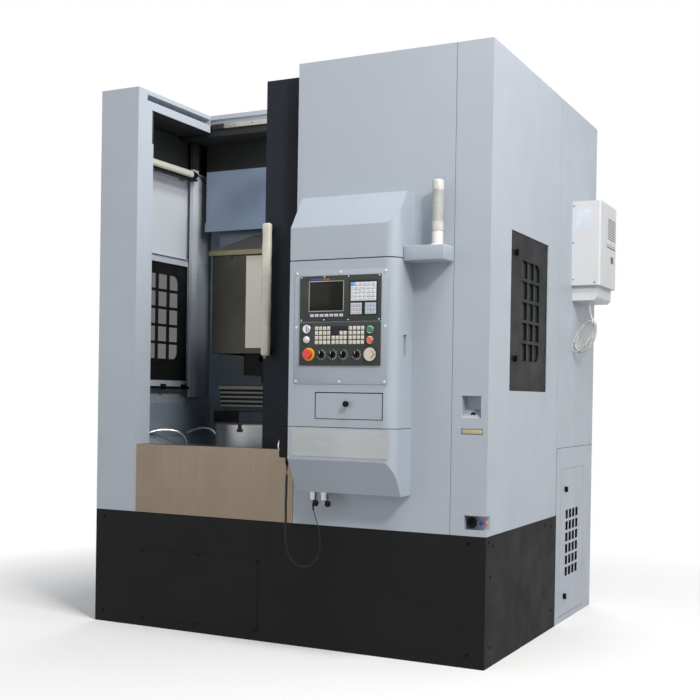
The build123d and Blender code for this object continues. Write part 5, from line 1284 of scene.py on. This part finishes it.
@dataclass
class ControlPanel:
    """The screwed plate, the display unit, the operator unit and their keys and controls."""

    box_front: float = -1.120
    plate: tuple[float, float, float, float] = (0.219, 0.712, 1.305, 1.841)
    unit: tuple[float, float] = (0.252, 0.680)
    display: tuple[float, float] = (1.601, 1.815)
    operator: tuple[float, float] = (1.392, 1.595)
    screen: tuple[float, float, float, float] = (0.306, 0.485, 1.650, 1.786)
    key_recess: tuple[float, float, float, float] = (0.516, 0.664, 1.625, 1.789)
    estop: tuple[float, float] = (0.305, 1.445)
    start_button: tuple[float, float] = (0.628, 1.559)
    stop_button: tuple[float, float] = (0.628, 1.511)
    key_switch: tuple[float, float] = (0.292, 1.565)
    white_lamp: tuple[float, float] = (0.292, 1.514)
    selector_height: float = 1.444
    estop_hole: float = 0.0238
    button_hole: float = 0.0146
    plate_thickness: float = 0.003
    screw_margin: float = 0.012
    scale_sweep: float = 230.0

    @property
    def face(self) -> float:
        """The Y of the units' front face."""
        return self.box_front - 0.011

    def flat(self, name: str, x0: float, x1: float, z0: float, z1: float, front: float, back: float,
             edge: float = 0.001) -> bpy.types.Object:
        """Make one flat block of the panel.

        Args:
            name: the block's name.
            x0: its left side.
            x1: its right side.
            z0: its foot.
            z1: its top.
            front: the Y of its front.
            back: the Y of its back.
            edge: the width of its rounded edges.

        Returns:
            The block.
        """
        return Bench.block(name, (x0, front, z0), (x1, back, z1), edge)

    def bore(self, piece: bpy.types.Object) -> None:
        """Cut the push buttons' round openings through a block, so that they can be pressed.

        Args:
            piece: the block.
        """
        behind, depth = self.box_front + 0.020, 0.060
        openings = ((self.estop, self.estop_hole), (self.start_button, self.button_hole),
                    (self.stop_button, self.button_hole))
        for (x, z), radius in openings:
            cutter = Bench.turned("cutter", (x, behind, z), Axis.Y, [(0.0, radius), (-depth, radius)], 48)
            Bench.take(piece)
            cut = piece.modifiers.new("bore", "BOOLEAN")
            cut.object = cutter
            cut.operation = "DIFFERENCE"
            cut.solver = "EXACT"
            bpy.ops.object.modifier_apply(modifier=cut.name)
            Bench.take(cutter)
            bpy.ops.object.delete()

    def plate_and_screws(self) -> None:
        """Make the plate with its eight screws."""
        x0, x1, z0, z1 = self.plate
        front, margin = self.box_front - self.plate_thickness, self.screw_margin
        plate = self.flat("panel_plate", x0, x1, z0, z1, front, self.box_front, 0.0012)
        self.bore(plate)
        Bench.fit(plate, CONTROL_PAINT, Body.BOX, "control_panel", slot="control_grey")
        middle = ((x0 + x1) / 2, front, (z0 + z1) / 2)
        spots = [(x, front, z) for x in (x0 + margin, middle[0], x1 - margin)
                 for z in (z0 + margin, middle[2], z1 - margin)]
        spots.remove(middle)
        screws = Bench.cluster("plate_screws", spots, Axis.Y,
                               [(0.0, 0.0062), (-0.002, 0.0060), (-0.0036, 0.0046), (-0.0038, 0.0022),
                                (-0.0022, 0.002)], 16)
        Bench.fit(screws, SCREW_ZINC_AND_GLINT, Body.BOX)

    def housings(self) -> None:
        """Make the two unit housings with their raised rims and recesses."""
        face, back = self.face, self.box_front - self.plate_thickness
        for name, (z0, z1) in (("display_unit", self.display), ("operator_unit", self.operator)):
            unit = self.flat(name, self.unit[0], self.unit[1], z0, z1, face, back, 0.002)
            if name == "operator_unit":
                self.bore(unit)
            Bench.fit(unit, UNIT_PLASTIC, Body.BOX)
        x0, x1, z0, z1 = self.screen
        bars = Bench.surround("screen_bezel", (x0, face - 0.002, z0), (x1, face + 0.001, z1), 0.0045, 0.001)
        Bench.fit(Bench.join("screen_bezel", bars), BEZEL_METAL, Body.BOX)
        glass = self.flat("screen_glass", x0, x1, z0, z1, face - 0.0006, face + 0.001, 0.0004)
        Bench.fit(glass, SCREEN_GLASS, Body.BOX)
        recess = self.flat("key_recess", *self.key_recess, face - 0.0005, face + 0.001, 0.0004)
        Bench.fit(recess, UNIT_DARK, Body.BOX)
        line = self.flat("operator_line", 0.322, 0.612, 1.478, 1.4795, face - 0.0004, face + 0.001, 0.0)
        Bench.fit(line, UNIT_DARK, Body.BOX)
        spots = [(x, face, z) for x in (0.262, 0.384, 0.512, 0.672) for z in (1.6065, 1.8085)]
        screws = Bench.cluster("unit_screws", spots, Axis.Y,
                               [(0.0005, 0.0036), (-0.0015, 0.0034), (-0.0022, 0.0018)], 12)
        Bench.fit(screws, SCREW_ZINC_AND_GLINT, Body.BOX)
        strips = (("title_strip_blue", 0.308, 0.372, (48, 74, 176)),
                  ("title_strip_red", 0.373, 0.412, (206, 62, 58)))
        for name, left, right, colour in strips:
            strip = self.flat(name, left, right, 1.7935, 1.8005, face - 0.0006, face + 0.001, 0.0003)
            Bench.fit(strip, Moulded(f"{name}_ink", colour, 0.4), Body.BOX)

    def key_grid(self, name: str, x0: float, x1: float, columns: int, z0: float, z1: float, rows: int,
                 colour: tuple[int, int, int], gap: float = 0.0024) -> None:
        """Make a grid of keys: one key, repeated across and then up.

        Args:
            name: the grid's name.
            x0: its left side.
            x1: its right side.
            columns: how many keys stand side by side.
            z0: its foot.
            z1: its top.
            rows: how many keys stand over each other.
            colour: the keys' colour.
            gap: the gap from one key to the next.
        """
        step_x = (x1 - x0) / columns
        step_z = (z1 - z0) / rows
        key = self.flat(name, x0 + gap / 2, x0 + step_x - gap / 2, z0 + gap / 2, z0 + step_z - gap / 2,
                        self.face - 0.0015, self.face + 0.0005, 0.0007)
        Bench.row(key, columns, (step_x, 0, 0))
        Bench.row(key, rows, (0, 0, step_z))
        finish = Printed(f"{name}_print", colour, (x0, z0), (step_x, step_z))
        Bench.fit(key, finish, Body.BOX)

    def keys(self) -> None:
        """Make all the keys."""
        pale, cream, face = (226, 228, 232), (226, 220, 208), self.face
        self.key_grid("edit_keys", 0.524, 0.657, 6, 1.692, 1.780, 5, pale, 0.0012)
        self.key_grid("cursor_keys", 0.524, 0.583, 4, 1.630, 1.684, 3, (206, 206, 214), 0.0012)
        self.key_grid("function_keys", 0.599, 0.657, 4, 1.630, 1.684, 3, (190, 202, 214), 0.0012)
        self.key_grid("soft_keys", 0.306, 0.488, 7, 1.6185, 1.6375, 1, (206, 208, 224), 0.0062)
        for number, (x0, x1) in enumerate(((0.335, 0.421), (0.425, 0.508), (0.514, 0.599))):
            self.key_grid(f"machine_keys_{number + 1}", x0, x1, 4, 1.490, 1.578, 4, cream, 0.0052)
        reset = self.flat("reset_key", 0.5245, 0.545, 1.7628, 1.7795, face - 0.0019, face, 0.0008)
        Bench.fit(reset, CYAN_PLASTIC, Body.BOX)
        windows = (("tool_window", 0.509, 1.5575, 1.5775, 0.0022),
                   ("speed_window", 0.466, 1.5350, 1.5555, 0.0021))
        for name, right, foot, top, height in windows:
            window = self.flat(name, 0.4235, right, foot, top, face - height, face, 0.0006)
            Bench.fit(window, UNIT_DARK, Body.BOX)

    def controls(self) -> None:
        """Make the collars, the bezels, the white lamp and the selectors' scales."""
        button_rim = [(0.001, 0.0185), (-0.003, 0.0182), (-0.0045, 0.0170), (-0.0045, 0.0148)]
        rims = (
            ("estop_collar", self.estop, YELLOW_PLASTIC, 48,
             [(0.001, 0.031), (-0.003, 0.031), (-0.004, 0.0295), (-0.004, 0.0245)]),
            ("start_bezel", self.start_button, BOLT_STEEL, 32, button_rim),
            ("stop_bezel", self.stop_button, BOLT_STEEL, 32, button_rim),
            ("white_lamp", self.white_lamp, WHITE_PLASTIC, 32,
             [(0.001, 0.0170), (-0.003, 0.0170), (-0.0045, 0.0150), (-0.009, 0.0140), (-0.0115, 0.010)]),
            ("key_ring", self.key_switch, BOLT_STEEL, 32,
             [(0.001, 0.0205), (-0.003, 0.0205), (-0.0045, 0.0188), (-0.0045, 0.0145)]),
        )
        for name, (x, z), finish, sides, stations in rims:
            rim = Bench.turned(name, (x, self.face, z), Axis.Y, stations, sides)
            Bench.fit(rim, finish, Body.BOX)
        for number, x in enumerate(SELECTOR_PLACES):
            self.scale_marks(f"selector_scale_{number + 1}", x, self.selector_height, 0.0178, 0.0262, 11)

    def scale_marks(self, name: str, x: float, z: float, inner: float, outer: float, count: int) -> None:
        """Make the printed ticks round a selector: one tick, spun into a fan.

        Args:
            name: the fan's name.
            x: the selector's X.
            z: the selector's height.
            inner: the radius where the ticks start.
            outer: the radius where they end.
            count: how many ticks there are.
        """
        half, raised = 0.00085, 0.0004
        tick = self.flat(name, x - half, x + half, z + inner, z + outer, self.face - raised,
                         self.face + raised, 0.0)
        Bench.take(tick)
        bpy.ops.object.mode_set(mode="EDIT")
        bpy.ops.mesh.select_all(action="SELECT")
        sweep = math.radians(self.scale_sweep)
        bpy.ops.mesh.spin(steps=count - 1, dupli=True, angle=sweep, center=(x, self.face, z), axis=(0, 1, 0))
        bpy.ops.object.mode_set(mode="OBJECT")
        turn = Matrix.Rotation(-sweep / 2, 4, "Y")
        place = Matrix.Translation((x, self.face, z))
        tick.data.transform(place @ turn @ place.inverted())
        Bench.fit(tick, INK_WHITE, Body.BOX)

    def build(self) -> None:
        """Make the whole panel."""
        self.plate_and_screws()
        self.housings()
        self.keys()
        self.controls()


@dataclass
class SignalLamp:
    """The milky signal lamp: socket, stacked lenses with rings, and a domed cap."""

    x: float = 0.895
    y: float = -0.985
    base: float = 1.950
    top: float = 2.257
    radius: float = 0.0278
    ribs: int = 24

    def build(self) -> None:
        """Make the socket, the bracket, the ring, the ribbed lens and the cap."""
        centre = (self.x, self.y, 0.0)
        neck = self.radius - 0.002
        socket = Bench.turned("lamp_socket", centre, Axis.Z,
                              [(self.base, 0.0358), (self.base + 0.004, 0.0358), (self.base + 0.007, 0.033),
                               (self.base + 0.0085, 0.0262), (self.base + 0.066, 0.0258),
                               (self.base + 0.070, 0.0235)], 40)
        Bench.fit(socket, WHITE_PLASTIC, Body.MACHINE, "signal_lamp")
        bracket = Bench.block("lamp_bracket", (0.752, -1.047, 1.880), (0.955, -0.925, 1.950), 0.005, 3)
        Bench.fit(bracket, CONTROL_PAINT, Body.MACHINE, slot="control_grey")
        ring = Bench.turned("lamp_ring", centre, Axis.Z,
                            [(self.base + 0.070, 0.0240), (self.base + 0.071, self.radius),
                             (self.base + 0.112, self.radius), (self.base + 0.113, neck)], 40)
        Bench.fit(ring, LAMP_MILK, Body.MACHINE)
        low, high = self.base + 0.113, self.top - 0.050
        step = (high - low) / self.ribs
        stations: list[tuple[float, float]] = [(low, neck)]
        for rib in range(self.ribs):
            z = low + step * (rib + 0.1)
            stations.append((z, self.radius - 0.0002))
            stations.append((z + step * 0.55, self.radius - 0.0016))
        stations.append((high, neck))
        Bench.fit(Bench.turned("lamp_lens", centre, Axis.Z, stations, 40), LENS_GREY, Body.MACHINE)
        cap = Bench.turned("lamp_cap", centre, Axis.Z,
                           [(high, neck), (high + 0.001, self.radius),
                            (self.top - 0.010, self.radius), (self.top - 0.004, self.radius - 0.0026),
                            (self.top, self.radius - 0.0085)], 40)
        Bench.fit(cap, LAMP_MILK, Body.MACHINE)


@dataclass
class DoorHandle:
    """The door's bow handle in its soft pale sleeve, on two dark feet."""

    x: tuple[float, float] = (-0.105, -0.065)
    front: float = -0.903
    low: float = 1.435
    high: float = 2.125
    door_front: float = -0.845
    sleeve_start: float = 0.012
    sleeve_lengths: int = 24

    def build(self) -> None:
        """Make the sleeve, the feet and the bar's lower end."""
        sleeve = Bench.block("handle_sleeve",
                             (self.x[0] - 0.005, self.front - 0.003, self.low + self.sleeve_start),
                             (self.x[1] + 0.005, self.front + 0.030, self.high), 0.012, 4)
        self.crease(sleeve)
        Bench.fit(sleeve, SLEEVE_FOAM, Body.DOOR, "door_handle", slot="steel_handle")
        feet = []
        for z in (self.low + 0.020, self.high - 0.066):
            feet.append(Bench.block("handle_foot", (self.x[0] + 0.008, self.front + 0.020, z),
                                    (self.x[1] - 0.008, self.door_front, z + 0.046), 0.003, 3))
        Bench.fit(Bench.join("handle_feet", feet), GROUND_STEEL, Body.DOOR)
        core = Bench.block("handle_core", (self.x[0] + 0.010, self.front + 0.004, self.low),
                           (self.x[1] - 0.010, self.front + 0.020, self.low + 0.04), 0.002, 2)
        Bench.fit(core, GROUND_STEEL, Body.DOOR)

    def crease(self, sleeve: bpy.types.Object) -> None:
        """Cut the sleeve into short lengths and press them in by small amounts, as wrapped foam lies.

        Args:
            sleeve: the smooth sleeve.
        """
        foot = self.low + self.sleeve_start
        length = (self.high - foot) / self.sleeve_lengths
        Bench.take(sleeve)
        bpy.ops.object.mode_set(mode="EDIT")
        for cut in range(1, self.sleeve_lengths):
            bpy.ops.mesh.select_all(action="SELECT")
            bpy.ops.mesh.bisect(plane_co=(0, 0, foot + length * cut), plane_no=(0.12, 0.05, 1.0))
        bpy.ops.object.mode_set(mode="OBJECT")
        wrap = bpy.data.textures.new("wrap_folds", "CLOUDS")
        wrap.noise_scale = 0.06
        lumps = sleeve.modifiers.new("folds", "DISPLACE")
        lumps.texture = wrap
        lumps.texture_coords = "LOCAL"
        lumps.mid_level = 0.75
        lumps.strength = 0.006
        bpy.ops.object.modifier_apply(modifier=lumps.name)


@dataclass
class Fittings:
    """Screws, plates, sockets and trim on the fixed sheets."""

    rail_screw: Point = (-0.715, -0.2495, 2.834)
    rail_screw_count: int = 17
    rail_screw_step: float = 0.105
    drawer: tuple[float, float, float, float] = (0.339, 0.690, 1.143, 1.264)
    cooler_side: float = 1.298
    cabinet_side: float = 1.1346
    connectors_x: tuple[float, float] = (0.268, 0.328)
    connector_top: tuple[float, float] = (-1.000, 0.785)

    def sign(self) -> None:
        """Make the bare metal plate on the shroud."""
        plate = Bench.block("bare_sign_plate", (0.211, -1.1216, 0.962), (0.722, -1.1200, 1.095), 0.0005, 1)
        Bench.fit(plate, SIGN_METAL, Body.MACHINE)

    def rail_screws(self) -> None:
        """Put cap screws into the door rail."""
        screw = Bench.turned("rail_screws", self.rail_screw, Axis.Y,
                             [(0.0012, 0.0044), (-0.0030, 0.0044), (-0.0038, 0.0038), (-0.0038, 0.0020),
                              (-0.0015, 0.0018)], 12)
        Bench.row(screw, self.rail_screw_count, (self.rail_screw_step, 0, 0))
        Bench.fit(screw, BOLT_STEEL, Body.MACHINE)

    def sockets(self) -> None:
        """Make the coloured couplings in the corner recess and the gland in the upper one."""
        parts = ((1.058, 0.6735, 0.0255, DARK_SEAM_AND_SHADE, "air_socket"),
                 (1.100, 0.6695, 0.0078, Moulded("coupling_blue", (36, 70, 170), 0.3), "blue_coupling"),
                 (1.119, 0.6735, 0.0078, Moulded("coupling_red", (196, 84, 70), 0.3), "red_coupling"))
        for x, z, radius, finish, name in parts:
            piece = Bench.turned(name, (x, -0.897, z), Axis.Y,
                                 [(0.004, radius * 1.02), (-0.008, radius * 1.02),
                                  (-0.010, radius * 0.8), (-0.012, radius * 0.8),
                                  (-0.012, radius * 0.5), (-0.004, radius * 0.45)], 28)
            Bench.fit(piece, finish, Body.MACHINE)
        gland = Bench.turned("recess_gland", (1.052, -0.893, 1.172), Axis.Y,
                             [(0.003, 0.0128), (-0.006, 0.0128), (-0.008, 0.0098), (-0.012, 0.009),
                              (-0.012, 0.005), (-0.006, 0.004)], 28)
        Bench.fit(gland, BLACK_PLASTIC, Body.MACHINE)

    def drawer_knob(self) -> None:
        """Make the black drawer knob's rounded head over its stem."""
        knob = Bench.turned("drawer_knob", (0.510, -1.120, 1.213), Axis.Y,
                            [(-0.0005, 0.0074), (-0.0125, 0.0074), (-0.0135, 0.0142), (-0.020, 0.0146),
                             (-0.0242, 0.0144), (-0.0256, 0.0120), (-0.0258, 0.006)], 32)
        Bench.fit(knob, BLACK_PLASTIC, Body.DRAWER)

    def lamp_in_cabin(self) -> None:
        """Make the work lamp's bright tube and its short lead."""
        tube = Bench.turned("work_light_tube", (-1.062, -0.62, 2.577), Axis.Y,
                            [(0.0, 0.0215), (0.0, 0.0246), (0.42, 0.0246), (0.42, 0.0215)], 40)
        Bench.fit(tube, LIGHT_TUBE, Body.MACHINE)
        lead = Bench.pipe("work_lamp_lead", ((-1.060, -0.140, 2.592), (-1.060, -0.105, 2.580),
                                             (-1.060, -0.060, 2.556), (-1.060, -0.010, 2.545),
                                             (-1.060, 0.035, 2.570), (-1.062, 0.064, 2.618)), 0.0042)
        Bench.fit(lead, SOFT_BLACK, Body.MACHINE)

    def window_screws(self) -> None:
        """Put dark screws down both sides of the window doors."""
        doors = (("right_window_screws", Body.RIGHT_WINDOW, 1, (-0.617, -0.054)),
                 ("left_window_screws", Body.LEFT_WINDOW, -1, (-0.692, -0.129)))
        for name, body, way, columns in doors:
            spots = [(1.130 * way, y, z) for y in columns for z in (1.31, 1.50, 1.68, 1.86, 2.044)]
            stations = [(-0.0005 * way, 0.005), (0.002 * way, 0.005), (0.003 * way, 0.0035)]
            screws = Bench.cluster(name, spots, Axis.X, stations, 12)
            Bench.fit(screws, SOFT_BLACK, body)

    def cooler_trim(self) -> None:
        """Add the cooling unit's grille slats, display and blank label."""
        side = self.cooler_side
        slat = Bench.block("cooler_grille", (side - 0.0058, 0.582, 2.1785),
                           (side - 0.0040, 0.757, 2.1835), 0.0)
        Bench.row(slat, 9, (0, 0, 0.014))
        Bench.fit(slat, UNIT_DARK, Body.MACHINE)
        plates = (
            ("cooler_display", (side - 0.0028, 0.6515, 2.0465), (side - 0.0010, 0.7185, 2.0835), 0.0006,
             SCREEN_GLASS),
            ("cooler_blank_label", (1.157, 0.4143, 2.218), (1.239, 0.4151, 2.327), 0.0003, LABEL_PALE),
            ("cooler_slot", (side - 0.0006, 0.560, 2.128), (side + 0.0002, 0.755, 2.135), 0.0, UNIT_DARK),
        )
        for name, low, high, edge, finish in plates:
            Bench.fit(Bench.block(name, low, high, edge, 1), finish, Body.MACHINE)
        spots = [(x, 0.415, z) for x, z in ((1.143, 2.350), (1.143, 2.141), (1.143, 1.932), (1.266, 1.914))]
        screws = Bench.cluster("cooler_screws", spots, Axis.Y,
                               [(0.0005, 0.0042), (-0.0016, 0.0040), (-0.0022, 0.0020)], 12)
        Bench.fit(screws, UNIT_DARK, Body.MACHINE)

    def seals(self) -> None:
        """Put a dark strip of painted shade in and round the drawer's gap, and the joints, seams and fold
        lines on the right side.
        """
        x0, x1, z0, z1 = self.drawer
        gap, lip, face, out = 0.0015, 0.0032, -1.1186, -1.1203
        # The dark strips fill the drawer's gap and a lip round it with painted shade.
        bars = Bench.surround("drawer_gap_shade", (x0 + gap, face, z0 + gap),
                              (x1 - gap, face + 0.006, z1 - gap), gap)
        bars += Bench.surround("drawer_gap_shade", (x0, out, z0), (x1, out + 0.001, z1), lip)
        Bench.fit(Bench.join("drawer_gap_shade", bars), DARK_SEAM_AND_SHADE, Body.BOX)
        near, far = self.cabinet_side, self.cabinet_side + 0.0008
        joint = Bench.block("cabinet_joint", (near - 0.0001, 0.192, 0.9788),
                            (far - 0.0001, 0.923, 0.9812), 0.0)
        Bench.fit(joint, DARK_SEAM_AND_SHADE, Body.MACHINE)
        seams = [
            Bench.block("door_seam", (near, 0.7452, 0.036), (far, 0.7474, 0.861), 0.0),
            Bench.block("door_seam", (near, 0.2676, 0.036), (far, 0.2698, 0.861), 0.0),
            Bench.block("door_seam", (near, 0.2676, 0.0325), (far, 0.7474, 0.0352), 0.0),
        ]
        Bench.fit(Bench.join("lower_door_seams", seams), FOLD_LINE, Body.MACHINE)
        fold = Bench.block("side_panel_fold", (near + 0.0001, 0.1738, 0.982),
                           (far - 0.0001, 0.1752, 2.893), 0.0)
        Bench.fit(fold, FOLD_LINE, Body.MACHINE)
        liner = Bench.block("finger_slot_liner", (1.005, -0.9245, 1.0828), (1.109, -0.9145, 1.1062), 0.003)
        Bench.fit(liner, RUST_TAN, Body.MACHINE)

    def cabin_pipes(self) -> None:
        """Make the two bright coolant pipes that curve over the tub."""
        routes = {
            "coolant_pipe_front": ((-1.092, -0.62, 1.000), (-1.05, -0.54, 1.036), (-0.99, -0.47, 1.040),
                                   (-0.945, -0.42, 1.026), (-0.925, -0.39, 0.985), (-0.920, -0.38, 0.930)),
            "coolant_pipe_rear": ((-1.02, -0.26, 1.016), (-0.97, -0.24, 1.042), (-0.91, -0.22, 1.048),
                                  (-0.86, -0.21, 1.034), (-0.835, -0.21, 0.995), (-0.825, -0.21, 0.925)),
        }
        for name, route in routes.items():
            Bench.fit(Bench.pipe(name, route, 0.0075), BOLT_STEEL, Body.MACHINE)

    def hinge_screws(self) -> None:
        """Put two groups of three screws on the cabin post, and the clamp strip under the window."""
        spots = [(-1.0998, -0.070, z) for z in (1.400, 1.425, 1.450, 1.935, 1.960, 1.985)]
        screws = Bench.cluster("post_screws", spots, Axis.X,
                               [(-0.001, 0.006), (0.003, 0.006), (0.0045, 0.004)], 14)
        Bench.fit(screws, SOFT_BLACK, Body.MACHINE)
        strip = Bench.block("clamp_strip", (-1.0998, -0.70, 1.279), (-1.086, -0.115, 1.293), 0.003)
        clamp = Bench.block("clamp", (-1.0996, -0.62, 1.275), (-1.078, -0.59, 1.307), 0.003)
        Bench.row(clamp, 3, (0, 0.20, 0))
        Bench.fit(Bench.join("clamp_strip", [strip, clamp]), SOFT_BLACK, Body.MACHINE)

    def base_screws(self) -> None:
        """Put dark cap screws on the base skirt's corner, its right side and its service plate."""
        cap = [(-0.001, 0.008), (0.001, 0.008), (0.0016, 0.006), (0.0016, 0.004), (0.0002, 0.0035)]
        side = [(1.1352, y, z) for y, z in ((-0.885, 0.585), (-0.83, 0.56), (-0.86, 0.42), (-0.85, 0.09),
                                            (-0.02, 0.575), (0.10, 0.56), (0.12, 0.10))]
        front = [(x, -0.9252, z) for x, z in ((1.05, 0.575), (-1.08, 0.575), (-1.08, 0.06), (1.05, 0.06))]
        plate = [(x, -0.9280, z) for x in (-0.815, -0.455, -0.095) for z in (0.052, 0.408)]
        groups = [
            Bench.cluster("base_screws", side, Axis.X, cap, 14),
            Bench.cluster("front_screws", front, Axis.Y, [(-place, radius) for place, radius in cap], 14),
            Bench.cluster("service_screws", plate, Axis.Y,
                          [(0.001, 0.0062), (-0.002, 0.0060), (-0.0032, 0.0036)], 14),
        ]
        Bench.fit(Bench.join("base_screws", groups), SOFT_BLACK, Body.MACHINE)

    def connectors(self) -> None:
        """Make the bright connector bodies under the shroud, and their black caps on short chains."""
        y, top = self.connector_top
        stations = [(0.001, 0.0225), (-0.004, 0.0225), (-0.006, 0.0200), (-0.014, 0.0200), (-0.015, 0.0172),
                    (-0.0185, 0.0172), (-0.0195, 0.0184), (-0.0255, 0.0184), (-0.0265, 0.0172),
                    (-0.0305, 0.0172), (-0.0315, 0.0184), (-0.040, 0.0184), (-0.042, 0.0150)]
        for number, (x, cap_shift) in enumerate(zip(self.connectors_x, (0.020, 0.027))):
            shell = Bench.turned(f"connector_shell_{number + 1}", (x, y, top), Axis.Z, stations, 32)
            Bench.fit(shell, BOLT_STEEL, Body.MACHINE)
            spot = (x + cap_shift, y - 0.012, top - 0.057)
            cap = Bench.turned(f"connector_cap_{number + 1}", spot, Axis.Z,
                               [(0.016, 0.004), (0.013, 0.0112), (0.006, 0.0148), (-0.005, 0.0150),
                                (-0.012, 0.0110), (-0.014, 0.006)], 28)
            link = Bench.turned("cap_link", spot, Axis.Z, [(0.014, 0.0018), (0.054, 0.0018)], 12)
            Bench.fit(Bench.join(f"connector_cap_{number + 1}", [cap, link]), BLACK_PLASTIC, Body.MACHINE)

    def pendant(self) -> None:
        """Add the pendant's face plate and the rim of its wheel."""
        face = Bench.block("pendant_face", (0.1325, -1.098, 0.962), (0.1342, -1.032, 1.090), 0.0006, 1)
        Bench.fit(face, UNIT_PLASTIC, Body.MACHINE)
        rim = Bench.turned("pendant_wheel_rim", (0.134, -1.065, 1.005), Axis.X,
                           [(-0.002, 0.030), (-0.006, 0.0335), (-0.012, 0.0335), (-0.0155, 0.030),
                            (-0.0155, 0.024), (-0.0135, 0.022)], 44)
        Bench.fit(rim, BOLT_STEEL, Body.WHEEL)

    def selector_pointers(self) -> None:
        """Put a white line on each selector's grip."""
        bodies = (Body.SELECTOR_1, Body.SELECTOR_2, Body.SELECTOR_3, Body.SELECTOR_4)
        for number, (x, body) in enumerate(zip(SELECTOR_PLACES, bodies)):
            line = Bench.block(f"selector_line_{number + 1}", (x - 0.0014, -1.1498, 1.446),
                               (x + 0.0014, -1.1491, 1.4585), 0.0002, 1)
            Bench.fit(line, INK_WHITE, body)

    def build(self) -> None:
        """Make all the fittings."""
        self.seals()
        self.cabin_pipes()
        self.hinge_screws()
        self.base_screws()
        self.connectors()
        self.pendant()
        self.selector_pointers()
        self.sign()
        self.rail_screws()
        self.sockets()
        self.drawer_knob()
        self.lamp_in_cabin()
        self.window_screws()
        self.cooler_trim()


def main() -> None:
    """Load the frame, dress it and set up the studio."""
    logging.basicConfig(level=logging.INFO, format="%(message)s")
    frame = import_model()
    Camera().build()
    Studio().build()
    SheetMetal.build(frame)
    PendantCord().build()
    DrainHose().build()
    ControlPanel().build()
    SignalLamp().build()
    DoorHandle().build()
    Fittings().build()


if __name__ == "__main__":
    main()
